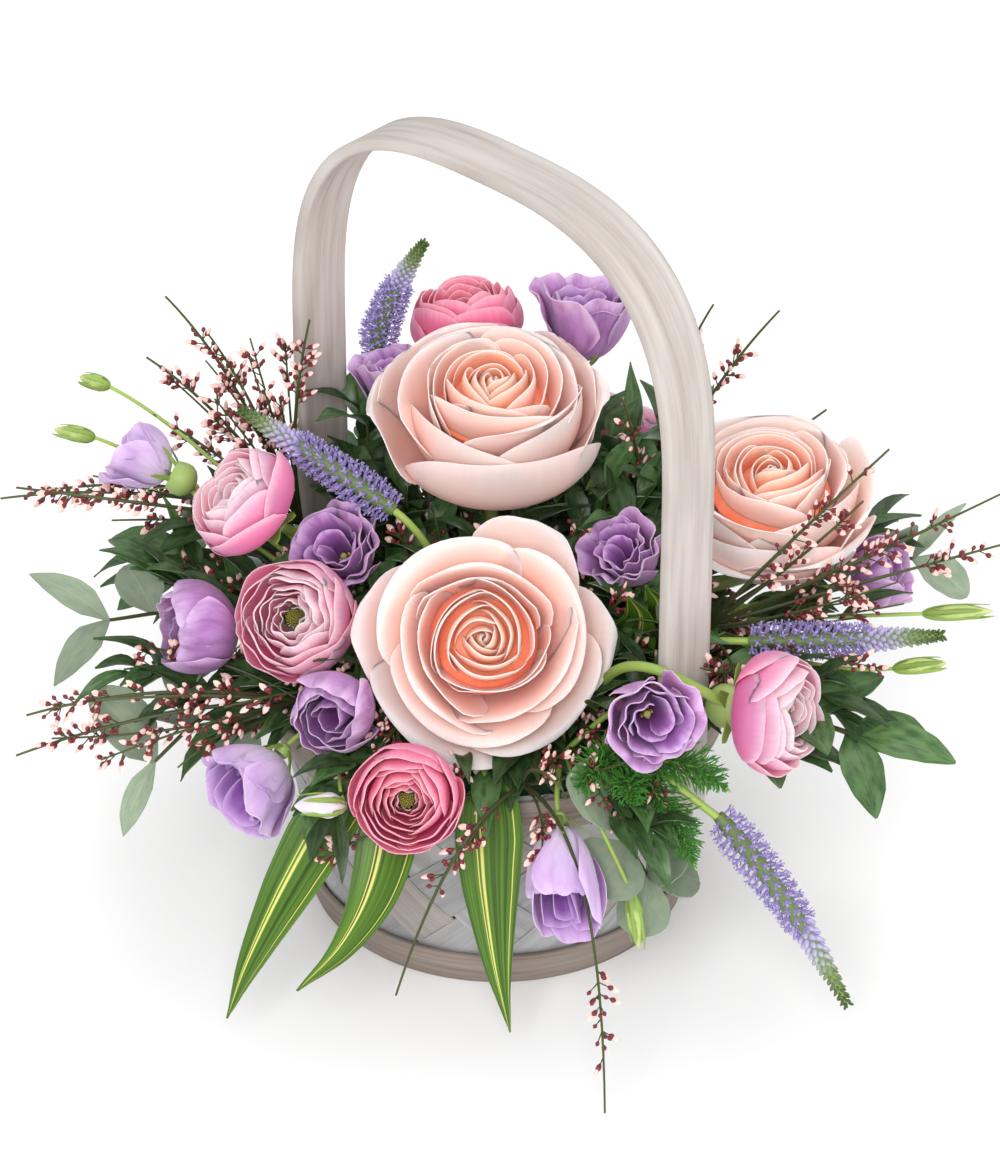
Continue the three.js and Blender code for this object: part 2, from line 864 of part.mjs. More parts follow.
// A spike of small florets: each ring's points stand out and lie in by turns, and the tip is plain.
function spike({ name, foot, base, middle, tip, thick, options }) {
  const curve = new THREE.QuadraticBezierCurve3(point(base), point(middle), point(tip));
  const rings = 11;
  const radiusAt = (t, i, j) => {
    const floret = t < 0.85 ? ((i + j) % 2 ? 1.16 : 0.8) : 1;
    const taper = Math.min(1, 0.6 + 3 * t) * (1 - 0.62 * t ** 2.2);
    return i === 0 ? 1.6 : thick * floret * taper * (i === rings ? 0.3 : 1);
  };
  const along = point(middle).sub(point(base)).normalize();
  const end = point(base).addScaledVector(along, 3);
  const pieces = [rod(curve.getPoints(rings), radiusAt, 6), stem(foot, end, along, 1.7, options)];
  addNode("speedwell_" + name, fuse(pieces), "spike");
}

// A thin keeled blade along points: half its width at each, its edges lifted by a share of that.
function blade(points, halves, face, fold, thick = LEAF_THICK) {
  const rings = points.map((middle, i) => {
    const ahead = points[Math.min(i + 1, points.length - 1)].clone();
    const along = ahead.sub(points[Math.max(i - 1, 0)]).normalize();
    const up = face.clone().addScaledVector(along, -face.dot(along)).normalize();
    const side = along.clone().cross(up);
    const half = halves[i];
    const place = (across, height) =>
      middle.clone().addScaledVector(side, across).addScaledVector(up, height);
    const deep = half > 0 ? thick / 2 : 0;
    return [place(-half, half * fold), place(0, deep), place(half, half * fold), place(0, -deep)];
  });
  return skinOf(rings);
}

// A leaf from its foot to its tip, its upper face turned up and a little to the front.
function leaf(foot, tip, width) {
  const face = at(0, -0.4, 1);
  const along = tip.clone().sub(foot);
  const lift = face.clone().addScaledVector(along, -face.dot(along) / along.lengthSq()).normalize();
  const middle = foot.clone().lerp(tip, 0.5).addScaledVector(lift, 0.2 * along.length());
  const curve = new THREE.QuadraticBezierCurve3(foot, middle, tip);
  const spans = [0, 0.33, 0.72, 1];
  const halves = [0.14, 0.92, 0.86, 0].map((share) => (share * width) / 2);
  return blade(spans.map((t) => curve.getPoint(t)), halves, face, 0.2);
}

// Long arching leaves from one sheath: each is a list of points from the sheath to the tip.
const STRIPED = [
  {
    name: "left",
    foot: [-46, -62],
    sheath: [-50, -87, 119],
    leaves: [
      [[-66, -104, 110], [-86, -118, 80], [-104, -128, 46], [-114, -134, 22]],
      [[-52, -106, 108], [-62, -122, 82], [-74, -132, 58], [-84, -138, 40]],
    ],
    width: 25,
  },
  {
    name: "front",
    foot: [-8, -74],
    sheath: [-6, -98, 119],
    leaves: [[[-4, -108, 112], [-3, -119, 82], [0, -130, 48], [5, -136, 16]]],
    width: 26,
  },
];

function stripedLeaves({ name, foot, sheath, leaves, width }) {
  const start = point(sheath);
  const out = at(sheath[0], sheath[1], 0).normalize();
  const pieces = [stem(foot, start, out, 2, { steps: 3, lift: 0.05 })];
  for (const route of leaves) {
    const curve = new THREE.CatmullRomCurve3([start, ...route.map(point)]);
    const points = curve.getPoints(6);
    const halves = [0.14, 0.6, 0.9, 1, 0.84, 0.5, 0].map((share) => (share * width) / 2);
    pieces.push(blade(points, halves, out.clone().add(at(0, 0, 0.5)), 0.25, 1.2));
  }
  addNode("striped_leaves_" + name, fuse(pieces), "striped");
}

// Eucalyptus: each arm is a list of points from the fork, and each leaf [place along it, tip, width].
const EUCALYPTUS = [
  {
    name: "left",
    foot: [-56, -14],
    fork: [-78, -16, 127],
    arms: [
      {
        route: [[-104, 2, 130], [-136, 2, 136], [-166, -16, 144]],
        leaves: [
          [1, [-200, -6, 161], 15],
          [1, [-189, -35, 123], 15],
          [0.8, [-160, 14, 152], 18],
          [0.62, [-136, -44, 122], 18],
        ],
      },
      {
        route: [[-104, -34, 121], [-128, -46, 112], [-146, -55, 98]],
        leaves: [
          [1, [-172, -50, 131], 22],
          [1, [-160, -68, 68], 12],
          [0.72, [-140, -16, 96], 24],
          [0.5, [-112, -54, 88], 22],
        ],
      },
    ],
  },
  {
    name: "front",
    foot: [38, -70],
    fork: [41, -90, 123],
    arms: [
      {
        route: [[46, -106, 118], [54, -114, 100], [62, -116, 84]],
        leaves: [
          [0.5, [28, -118, 134], 28],
          [0.7, [40, -128, 84], 30],
          [1, [80, -118, 100], 22],
          [1, [84, -112, 78], 20],
          [1, [60, -124, 58], 20],
        ],
      },
    ],
  },
  {
    name: "right",
    foot: [62, 28],
    fork: [86, 36, 130],
    arms: [
      {
        route: [[116, 42, 138], [150, 36, 142], [180, 28, 146]],
        leaves: [
          [0.9, [172, 16, 168], 20],
          [1, [202, 32, 172], 8],
          [1, [204, 20, 132], 16],
          [0.6, [140, 74, 148], 22],
        ],
      },
    ],
  },
];

function eucalyptus({ name, foot, fork, arms }) {
  const start = point(fork);
  const pieces = [stem(foot, start, towards(foot, fork, 0), 1.6, { steps: 3 })];
  for (const { route, leaves } of arms) {
    const curve = new THREE.CatmullRomCurve3([start, ...route.map(point)]);
    pieces.push(rod(curve.getPoints(5), (t) => 1.3 - 0.4 * t, 4));
    const blades = leaves.map(([t, tip, width]) => leaf(curve.getPoint(t), point(tip), width));
    pieces.push(...onlyClear(blades));
  }
  addNode("eucalyptus_" + name, fuse(pieces), "eucalyptus");
}

// Dark leaves low among the stems: pairs of leaves along an arm, with the ends of the arm.
const DARK = [
  { name: "left", foot: [-58, 22], end: [-136, 60, 124], width: 17, length: 42, pairs: 4 },
  { name: "right", foot: [64, -36], end: [150, -78, 128], width: 18, length: 44, pairs: 4 },
  { name: "back", foot: [16, 84], end: [24, 156, 132], width: 17, length: 42, pairs: 4 },
];

function darkLeaves({ name, foot, end, width, length, pairs }) {
  const start = at(foot[0] * 1.1, foot[1] * 1.1, 128);
  const finish = point(end);
  const out = finish.clone().sub(start).normalize();
  const side = out.clone().cross(at(0, 0, 1)).normalize();
  const path = [start, start.clone().lerp(finish, 0.5).add(at(0, 0, 4)), finish];
  const curve = new THREE.QuadraticBezierCurve3(...path);
  const blades = [leaf(curve.getPoint(1), finish.clone().addScaledVector(out, length), width)];
  for (let pair = 0; pair < pairs; pair += 1) {
    const root = curve.getPoint(0.25 + (0.7 * pair) / (pairs - 1));
    for (const hand of [-1, 1]) {
      const tip = root
        .clone()
        .addScaledVector(out, length * 0.6)
        .addScaledVector(side, hand * length * 0.7)
        .add(at(0, 0, (pair % 2 ? -0.35 : 0.2) * length));
      blades.push(leaf(root, tip, width));
    }
  }
  const pieces = [
    stem(foot, start, at(foot[0], foot[1], 60).normalize(), 1.6, { steps: 2 }),
    rod(curve.getPoints(4), () => 1.3, 4),
    ...onlyClear(blades),
  ];
  addNode("dark_leaves_" + name, fuse(pieces), "darkLeaf");
}

// A soft frond at the front right: thin blades cut to the rib, two from one stalk.
function fern() {
  const foot = [45, -69];
  const fork = at(54, -86, 123);
  const face = at(0.2, -0.6, 1);
  const frond = (route, width) => {
    const curve = new THREE.CatmullRomCurve3([fork, ...route.map(point)]);
    const teeth = 14;
    const halves = Array.from({ length: teeth + 1 }, (_, i) => {
      const t = i / teeth;
      return i % 2 ? 0.9 : Math.max(0.4, (width / 2) * Math.sin(Math.PI * Math.min(1, 0.14 + 0.86 * t)));
    });
    return blade(curve.getPoints(teeth), halves, face, 0.1, 0.9);
  };
  const pieces = [
    stem(foot, fork, at(0, -1, 0.2).normalize(), 1.5, { steps: 3 }),
    frond([[66, -105, 117], [75, -118, 109], [82, -127, 95]], 26),
    frond([[54, -98, 126], [54, -112, 128], [56, -124, 124]], 22),
  ];
  addNode("fern_right", fuse(pieces), "fern");
}

// Broom: thin twigs from one fork, each [bend, tip], and the buds along them.
const BROOM = [
  {
    name: "left",
    foot: [-54, 44],
    fork: [-86, 50, 150],
    seed: 11,
    twigs: [
      [[-150, 52, 172], [-216, 42, 168]],
      [[-140, 62, 172], [-206, 58, 160]],
      [[-160, -14, 204], [-206, 20, 188]],
      [[-112, 64, 220], [-142, 62, 258]],
      [[-116, 62, 200], [-151, 58, 230]],
      [[-104, 56, 210], [-124, 60, 240]],
      [[-92, 44, 200], [-80, 46, 256]],
    ],
    buds: 5,
  },
  {
    name: "lower_left",
    foot: [-66, -36],
    fork: [-84, -50, 126],
    seed: 23,
    twigs: [
      [[-140, -70, 140], [-203, -70, 112]],
      [[-140, -66, 150], [-198, -66, 130]],
      [[-120, -68, 144], [-168, -72, 142]],
    ],
    buds: 5,
  },
  {
    name: "right",
    foot: [66, -10],
    fork: [88, -24, 146],
    seed: 37,
    twigs: [
      [[112, -40, 190], [162, -26, 237]],
      [[124, -30, 180], [152, -30, 214]],
      [[154, -38, 190], [213, 0, 198]],
      [[150, -24, 168], [213, -12, 180]],
    ],
    buds: 5,
  },
  {
    name: "front",
    foot: [8, -80],
    fork: [10, -100, 119],
    seed: 41,
    twigs: [
      [[4, -158, 150], [44, -188, 16]],
      [[-20, -152, 136], [-43, -126, 28]],
      [[12, -120, 150], [26, -134, 142]],
    ],
    buds: 5,
  },
  {
    name: "back",
    foot: [58, 50],
    fork: [66, 64, 140],
    seed: 53,
    twigs: [
      [[84, 70, 200], [121, 72, 245]],
      [[70, 66, 210], [92, 62, 254]],
      [[110, 80, 160], [146, 108, 172]],
      [[60, 40, 200], [52, 16, 236]],
    ],
    buds: 5,
  },
];

function broom({ name, foot, fork, seed, twigs, buds }) {
  const draw = dice(seed);
  const start = point(fork);
  const pieces = [stem(foot, start, towards(foot, fork, 20), 1.5, { steps: 3 })];
  for (const [bend, tip] of twigs) {
    const curve = new THREE.QuadraticBezierCurve3(start, point(bend), point(tip));
    const points = [curve.getPoint(0), curve.getPoint(0.22)];
    for (let i = 0; i < 2 * buds; i += 1) {
      points.push(curve.getPoint(0.36 + (0.62 * (i + (i % 2 ? 0.5 * draw() : 0))) / (2 * buds - 1)));
    }
    const sides = points.map(() => Math.floor(3 * draw()));
    const radiusAt = (t, i, j) => (i > 1 && i % 2 === 1 && j === sides[i] ? 4.6 : 1.1 - 0.4 * t);
    pieces.push(rod(points, radiusAt, 3));
  }
  addNode("broom_" + name, fuse(pieces), "twig");
}

addNode("basket_wall", basketWall(), "wash");
addNode("base_board", baseBoard(), "board");
addNode("base_hoop", hoop(0, BASE_HOOP_HEIGHT), "hoop");
addNode("rim_hoop", hoop(RIM_HEIGHT - RIM_HOOP_HEIGHT, RIM_HEIGHT), "hoop");
addNode("handle", handle(), "wash");
addNode("liner", liner(), "liner");
placeBlooms();
for (const rose of ROSES) addNode("rose_" + rose.name + "_stem", stemmed(rose, 7, 18, 5, 3), "roseGreen");
for (const one of RANUNCULI) {
  addNode("ranunculus_" + one.name + "_stem", stemmed(one, 6, 8, 3, 2.2), "stem");
}
for (const one of SPRAYS) spray(one);
for (const one of SPIKES) spike(one);
for (const one of STRIPED) stripedLeaves(one);
for (const one of EUCALYPTUS) eucalyptus(one);
for (const one of DARK) darkLeaves(one);
fern();
for (const one of BROOM) broom(one);

function drilledFoam() {
  const bores = holes.map(([[x, y], radius]) => {
    const height = FOAM_TOP + 4 - STEM_BOTTOM + GAP;
    const wide = (radius + GAP) / Math.cos(Math.PI / 4);
    const bore = new THREE.CylinderGeometry(wide, wide, height, 4);
    bore.rotateX(Math.PI / 2);
    bore.translate(x, y, STEM_BOTTOM - GAP + height / 2);
    return solidOf(bore);
  });
  return foamBlock().subtract(fuse(bores));
}

addNode("foam", drilledFoam(), "foam");

export default group;
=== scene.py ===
import json
import math
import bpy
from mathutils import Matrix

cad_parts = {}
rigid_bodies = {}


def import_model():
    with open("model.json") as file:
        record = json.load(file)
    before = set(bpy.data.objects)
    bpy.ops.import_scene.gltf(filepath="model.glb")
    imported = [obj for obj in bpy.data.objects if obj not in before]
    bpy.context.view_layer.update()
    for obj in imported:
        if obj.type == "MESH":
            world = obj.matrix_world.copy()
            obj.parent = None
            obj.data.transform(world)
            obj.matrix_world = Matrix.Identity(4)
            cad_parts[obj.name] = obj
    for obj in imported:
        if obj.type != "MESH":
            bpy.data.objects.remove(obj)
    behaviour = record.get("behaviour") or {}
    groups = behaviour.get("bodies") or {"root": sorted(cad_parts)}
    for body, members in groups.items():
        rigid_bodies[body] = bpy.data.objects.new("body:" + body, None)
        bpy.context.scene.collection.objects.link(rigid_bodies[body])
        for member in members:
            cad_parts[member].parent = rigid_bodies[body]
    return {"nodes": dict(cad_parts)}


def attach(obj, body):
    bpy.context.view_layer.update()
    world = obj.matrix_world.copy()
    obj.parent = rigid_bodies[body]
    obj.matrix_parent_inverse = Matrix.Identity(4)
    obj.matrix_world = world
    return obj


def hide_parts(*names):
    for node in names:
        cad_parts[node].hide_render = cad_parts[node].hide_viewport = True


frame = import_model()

from types import SimpleNamespace

import bpy
import numpy as np
from mathutils import Matrix

for leftover in [o for o in bpy.data.objects if o.name in ("Cube", "Light", "Camera")]:
    bpy.data.objects.remove(leftover)
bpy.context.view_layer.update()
mm = 0.001  # the sizes below are in millimetres, the scene is in metres
goldenTurn = math.radians(137.508)  # from one petal, leaf or floret to the next
crown = 121.0  # height of the foam's top, where the stems come out
sharpAngle = math.radians(55)  # thin sheets keep their own shade up to the edge


# small tools

def hexColour(text):  # sRGB hex to linear, with alpha
    parts = [int(text[i:i + 2], 16) / 255 for i in (1, 3, 5)]
    return [c / 12.92 if c <= 0.04045 else ((c + 0.055) / 1.055) ** 2.4 for c in parts] + [1.0]


def smooth(low, high, x):
    t = np.clip((x - low) / (high - low), 0, 1)
    return t * t * (3 - 2 * t)


def unit(v):
    v = np.asarray(v, float)
    return v / max(np.linalg.norm(v), 1e-9)


def seedOf(name, more=0):  # a seed that stays the same for a name
    return sum(map(ord, name)) + more


def polar(radius, turn, height):
    return np.array([radius * math.cos(turn), radius * math.sin(turn), height])


def turned(axis, degrees):
    c, s = math.cos(math.radians(degrees)), math.sin(math.radians(degrees))
    x, y, z = unit(axis)
    return np.array([
        [c + x * x * (1 - c), x * y * (1 - c) - z * s, x * z * (1 - c) + y * s],
        [y * x * (1 - c) + z * s, c + y * y * (1 - c), y * z * (1 - c) - x * s],
        [z * x * (1 - c) - y * s, z * y * (1 - c) + x * s, c + z * z * (1 - c)],
    ])


# a bloom's place: its own +Z is the way it faces, turned from +X and tilted from upright
def facing(seat, turn, tilt, spin=0, size=1):
    matrix = turned((0, 0, 1), turn) @ turned((0, 1, 0), tilt) @ turned((0, 0, 1), spin)
    return size * matrix, np.array(seat, float)


def placeOf(spec, spin=0):
    return facing(spec["seat"], spec["turn"], spec["tilt"], spin, spec.get("size", 1))


def put(place, points):  # a bloom's own points, at its place
    return np.asarray(points, float) @ place[0].T + place[1]


def axisOf(turn, tilt):
    return facing((0, 0, 0), turn, tilt)[0][:, 2]


def bezier(points, count):  # evenly stepped points on a Bezier curve of any degree
    t = np.linspace(0, 1, count)[:, None]
    level = [np.asarray(p, float)[None, :] + 0 * t for p in points]
    while len(level) > 1:
        level = [a * (1 - t) + b * t for a, b in zip(level, level[1:])]
    return level[0]


def splineOf(points, count):  # a smooth line through all the points
    p = np.array(points, float)
    ends = np.vstack([2 * p[0] - p[1], p, 2 * p[-1] - p[-2]])
    out = []
    for place in np.linspace(0, len(p) - 1, count):
        i = min(int(place), len(p) - 2)
        t = place - i
        a, b, c, d = ends[i:i + 4]
        out.append(0.5 * (2 * b + (c - a) * t + (2 * a - 5 * b + 4 * c - d) * t ** 2
                          + (3 * b - a - 3 * c + d) * t ** 3))
    return np.array(out)


def shares(pairs, count):  # a share at each of count even steps, read off (place, share) pairs
    return np.interp(np.linspace(0, 1, count), *zip(*pairs))


def framesAlong(path):  # direction, side and up at each point, turned as little as possible
    along = np.gradient(path, axis=0)
    along /= np.linalg.norm(along, axis=1)[:, None]
    side = np.array([0.31, 0.62, 0.72])
    sides = []
    for d in along:
        side = unit(side - d * side.dot(d))
        sides.append(side)
    sides = np.array(sides)
    return along, sides, np.cross(along, sides)


def placeData(shape, along, across, depth, chance):  # what the materials read: four values a point
    return np.stack([np.broadcast_to(v, shape) for v in (along, across, depth, chance)], axis=-1)


def rodFaces(rings, sides):  # rings of points joined one to the next, with a cap at each end
    faces = [(i * sides + j, i * sides + (j + 1) % sides, (i + 1) * sides + (j + 1) % sides,
              (i + 1) * sides + j) for i in range(rings - 1) for j in range(sides)]
    return faces + [tuple(range(sides - 1, -1, -1)), tuple((rings - 1) * sides + j for j in range(sides))]


# the points, faces, place data and finishes of one piece, gathered from its parts, and its own chances
class Heap:
    def __init__(self, seed=0):
        self.points, self.faces, self.data, self.finish, self.count = [], [], [], [], 0
        self.rng = np.random.default_rng(seed)

    def draw(self, low=0.0, high=1.0):
        return low + (high - low) * self.rng.random()

    def wander(self):  # a small step in any direction
        return self.rng.random(3) - 0.5

    def add(self, points, faces, data, finish=0):
        points = np.asarray(points, float).reshape(-1, 3)
        self.points.append(points)
        self.data.append(np.broadcast_to(np.asarray(data, float).reshape(-1, 4), (len(points), 4)))
        self.faces.extend([tuple(i + self.count for i in f) for f in faces])
        self.finish.extend([finish] * len(faces))
        self.count += len(points)

    # a closed thin sheet over a grid; topDepth is the depth value of its upper side, where that differs
    def sheet(self, grid, data, thick, finish=0, topDepth=None):
        rows, cols = grid.shape[:2]
        normal = np.cross(np.gradient(grid, axis=0), np.gradient(grid, axis=1))
        normal *= 0.5 * thick / np.maximum(np.linalg.norm(normal, axis=2), 1e-9)[:, :, None]
        topData = data.copy()
        if topDepth is not None:
            topData[..., 2] = topDepth
        half = rows * cols
        faces = []
        for a in [i * cols + j for i in range(rows - 1) for j in range(cols - 1)]:
            faces.append((a, a + cols, a + cols + 1, a + 1))
            faces.append((half + a, half + a + 1, half + a + cols + 1, half + a + cols))
        rim = list(range(cols - 1)) + [(i + 1) * cols - 1 for i in range(rows - 1)]
        rim += [half - j for j in range(1, cols)] + [i * cols for i in range(rows - 1, 0, -1)]
        faces += [(a, b, half + b, half + a) for a, b in zip(rim, rim[1:] + rim[:1])]
        self.add([grid + normal, grid - normal], faces, [topData, data], finish)

    # a closed rod along a path, its radius a number or one for each point
    def tube(self, path, radius, sides, finish=0, chance=0.5, depth=0.0, flatness=1.0, shades=(0, 1)):
        path = np.asarray(path, float)
        count = len(path)
        _, side, up = framesAlong(path)
        turn = np.arange(sides) * 2 * math.pi / sides
        ring = (side[:, None, :] * np.cos(turn)[None, :, None]
                + up[:, None, :] * (flatness * np.sin(turn))[None, :, None])
        radius = np.broadcast_to(np.asarray(radius, float), (count,))
        data = placeData((count, sides), np.linspace(*shades, count)[:, None], np.arange(sides) / sides,
                         depth, chance)
        self.add(path[:, None, :] + ring * radius[:, None, None], rodFaces(count, sides), data, finish)


def standing(heap, place, heights, radii, sides, finish, **rest):  # a rod on a bloom's own axis
    heap.tube(put(place, [(0, 0, z) for z in heights]), radii, sides, finish, **rest)


def inScene(name, data):
    made = bpy.data.objects.new(name, data)
    bpy.context.scene.collection.objects.link(made)
    return made


# turns a heap into a Blender object that rides on the root body
def makePiece(name, heap, materials, replaced=()):
    mesh = bpy.data.meshes.new(name)
    points = np.concatenate(heap.points) * mm
    mesh.from_pydata(points.tolist(), [], heap.faces)
    mesh.polygons.foreach_set("material_index", np.array(heap.finish, dtype=np.int32))
    mesh.polygons.foreach_set("use_smooth", [True] * len(mesh.polygons))
    layer = mesh.attributes.new("place", "FLOAT_COLOR", "POINT")
    layer.data.foreach_set("color", np.concatenate(heap.data).astype(np.float32).ravel())
    for material in materials:
        mesh.materials.append(material)
    mesh.validate()
    mesh.update()
    mesh.set_sharp_from_angle(angle=sharpAngle)
    piece = inScene(name, mesh)
    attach(piece, "root")
    if replaced:
        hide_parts(*replaced)
    return piece


# materials

# one shader node with its settings, its values, hex colours and links by socket name or number, and a
# ramp's stops
def addNode(finish, kind, inputs=(), output=0, stops=(), **settings):
    made = finish.tree.nodes.new("ShaderNode" + kind)
    for key, value in settings.items():
        setattr(made, key, value)
    for key, value in inputs.items() if isinstance(inputs, dict) else enumerate(inputs):
        if isinstance(value, bpy.types.NodeSocket):
            finish.tree.links.new(value, made.inputs[key])
        else:
            made.inputs[key].default_value = hexColour(value) if isinstance(value, str) else value
    while stops and len(made.color_ramp.elements) < len(stops):
        made.color_ramp.elements.new(0.5)
    for number, (position, colour) in enumerate(stops):
        made.color_ramp.elements[number].position = position
        made.color_ramp.elements[number].color = hexColour(colour)
    return made.outputs[output]


# a new material with its shader's values, and the place data that its mesh carries: how far along
# from foot to lip, how far across, a ring's depth or a leaf's upper side, and a chance of its own
def startMaterial(name, values):
    finish = SimpleNamespace(material=bpy.data.materials.new(name))
    finish.material.use_nodes = True
    finish.tree = finish.material.node_tree
    finish.shader = next(n for n in finish.tree.nodes if n.type == "BSDF_PRINCIPLED")
    for key, value in values.items():
        finish.shader.inputs[key].default_value = value
    place = addNode(finish, "Attribute", attribute_name="place", attribute_type="GEOMETRY").node
    split = addNode(finish, "SeparateColor", [place.outputs["Color"]]).node
    finish.along, finish.across, finish.depth = split.outputs
    finish.chance = place.outputs["Alpha"]
    return finish


# fine streaks from foot to lip: across and along are how many fit in the sheet
def streaks(finish, across, along, detail=3.0):
    counts = ((finish.across, across), (finish.along, along), (finish.chance, 37.0))
    spot = [addNode(finish, "Math", [socket, count], operation="MULTIPLY") for socket, count in counts]
    return addNode(finish, "TexNoise", {"Vector": addNode(finish, "CombineXYZ", spot), "Scale": 1.0,
                                        "Detail": detail, "Roughness": 0.55})


# a second colour over the first where a pattern climbs from low to high, up to the share most
def laidOver(finish, colour, second, pattern, low, high, most=1.0, least=0.0):
    share = addNode(finish, "MapRange", [pattern, low, high, least, most])
    return addNode(finish, "Mix", {0: share, 6: colour, 7: second}, 2, data_type="RGBA")


# a tone of its own for each petal, leaf or strip, and a relief that is so many mm high
def closeMaterial(finish, colour, relief, strength, height, tones=None):
    if tones:
        tone = addNode(finish, "MapRange", [finish.chance, 0.0, 1.0, *tones])
        colour = addNode(finish, "HueSaturation", {"Value": tone, "Color": colour})
    bump = addNode(finish, "Bump", {"Height": relief, "Strength": strength, "Distance": height * mm})
    finish.tree.links.new(colour, finish.shader.inputs["Base Color"])
    finish.tree.links.new(bump, finish.shader.inputs["Normal"])
    return finish.material


# fresh petal, grown as one thin layer of wet cells: light soaks in, so folds glow and nothing shines;
# outer and inner are its two sides' colours from foot to lip, the vein count is how many streaks fit across,
# which leaves 2 to 4 mm between them: coarser than the real veins, so that they show; on the lisianthus
# bells these streaks are painted shade of soft folds rather than veins
def petalMaterial(name, outer, inner, streak, veinAndFoldShadeLines=26.0, share=0.22, roughness=0.55, glow=0.4):
    petal = startMaterial(name, {
        "Roughness": roughness, "IOR": 1.38, "Specular IOR Level": 0.35, "Subsurface Weight": glow,
        "Subsurface Radius": (1.0, 0.8, 0.7), "Subsurface Scale": 3 * mm, "Sheen Weight": 0.12,
        "Sheen Roughness": 0.5})
    outside, lining = [addNode(petal, "ValToRGB", [petal.along], stops=stops) for stops in (outer, inner)]
    colour = addNode(petal, "Mix", {0: petal.depth, 6: outside, 7: lining}, 2, data_type="RGBA")
    lines = streaks(petal, veinAndFoldShadeLines, 2.5)
    colour = laidOver(petal, colour, streak, lines, 0.42, 0.72, share)
    return closeMaterial(petal, colour, lines, 0.12, 0.4, (0.94, 1.04))


# leaf, grown with a waxed skin: a soft shine above, a pale midrib and side ribs, and a duller back;
# sideRibs is how many pairs leave the midrib
def leafMaterial(name, top, under, rib, sideRibs, roughness=0.45, blotch=None, ribShare=0.3, waxy=0.0):
    leaf = startMaterial(name, {
        "Roughness": roughness, "IOR": 1.45, "Specular IOR Level": 0.45, "Subsurface Weight": 0.08,
        "Subsurface Radius": (0.4, 0.8, 0.2), "Subsurface Scale": 1.5 * mm, "Sheen Weight": waxy,
        "Sheen Roughness": 0.4})
    ribWidth = 0.03  # of the leaf's width
    offCentre = addNode(leaf, "Math", [leaf.across, 0.5], operation="SUBTRACT")
    aside = addNode(leaf, "Math", [offCentre], operation="ABSOLUTE")
    colour = addNode(leaf, "Mix", {0: leaf.depth, 6: under, 7: top}, 2, data_type="RGBA")
    cloud = streaks(leaf, 5.0, 5.0, 4.0)
    if blotch:
        colour = laidOver(leaf, colour, blotch, cloud, 0.4, 0.65)
    ribsAlong = addNode(leaf, "Math", [leaf.along, sideRibs], operation="MULTIPLY")
    ribsAside = addNode(leaf, "Math", [aside, sideRibs * 0.9], operation="MULTIPLY")
    slant = addNode(leaf, "Math", [ribsAlong, ribsAside], operation="SUBTRACT")
    halfTurns = addNode(leaf, "Math", [slant, math.pi], operation="MULTIPLY")
    sine = addNode(leaf, "Math", [halfTurns], operation="SINE")
    wave = addNode(leaf, "Math", [sine], operation="ABSOLUTE")
    sideRib = addNode(leaf, "MapRange", [wave, 0.0, 0.16, 0.35, 0.0])
    midRib = addNode(leaf, "MapRange", [aside, ribWidth * 0.5, ribWidth, 1.0, 0.0])
    strongest = addNode(leaf, "Math", [midRib, sideRib], operation="MAXIMUM")
    ribs = addNode(leaf, "Math", [strongest, ribShare], operation="MULTIPLY")
    colour = addNode(leaf, "Mix", {0: ribs, 6: colour, 7: rib}, 2, data_type="RGBA")
    relief = addNode(leaf, "Math", [ribs, cloud], operation="ADD")
    return closeMaterial(leaf, colour, relief, 0.35, 0.5, (0.8, 1.2))


# dracaena leaf, a grown blade with fine parallel veins: satin green with cream stripes beside the midrib
def stripedMaterial(name, top, under, dark, light, cream):
    blade = startMaterial(name, {
        "Roughness": 0.4, "IOR": 1.45, "Specular IOR Level": 0.4, "Subsurface Weight": 0.06,
        "Subsurface Radius": (0.4, 0.8, 0.2), "Subsurface Scale": 1.5 * mm})
    lines = streaks(blade, 34.0, 0.8)
    bands = streaks(blade, 7.0, 0.3)
    colour = addNode(blade, "Mix", {0: blade.depth, 6: under, 7: top}, 2, data_type="RGBA")
    colour = laidOver(blade, colour, dark, lines, 0.35, 0.65)
    colour = laidOver(blade, colour, light, bands, 0.4, 0.7, 0.5)
    for centre, half in ((0.62, 0.026), (0.69, 0.010), (0.12, 0.010)):  # shares of the leaf's width
        offCentre = addNode(blade, "Math", [blade.across, centre], operation="SUBTRACT")
        gap = addNode(blade, "Math", [offCentre], operation="ABSOLUTE")
        colour = laidOver(blade, colour, cream, gap, half * 0.6, half * 1.3, 0.0, 0.9)
    return closeMaterial(blade, colour, lines, 0.4, 0.5)


# stem, a grown ribbed skin: half matt and paler where it is young; foot and tip are its two ends
def stemMaterial(name, foot, tip, streak=None):
    stem = startMaterial(name, {
        "Roughness": 0.5, "IOR": 1.43, "Subsurface Weight": 0.05, "Subsurface Scale": 1 * mm})
    colour = addNode(stem, "Mix", {0: stem.along, 6: foot, 7: tip}, 2, data_type="RGBA")
    lines = streaks(stem, 9.0, 3.0)
    if streak:
        colour = laidOver(stem, colour, streak, lines, 0.45, 0.7, 0.7)
    return closeMaterial(stem, colour, lines, 0.3, 0.3)


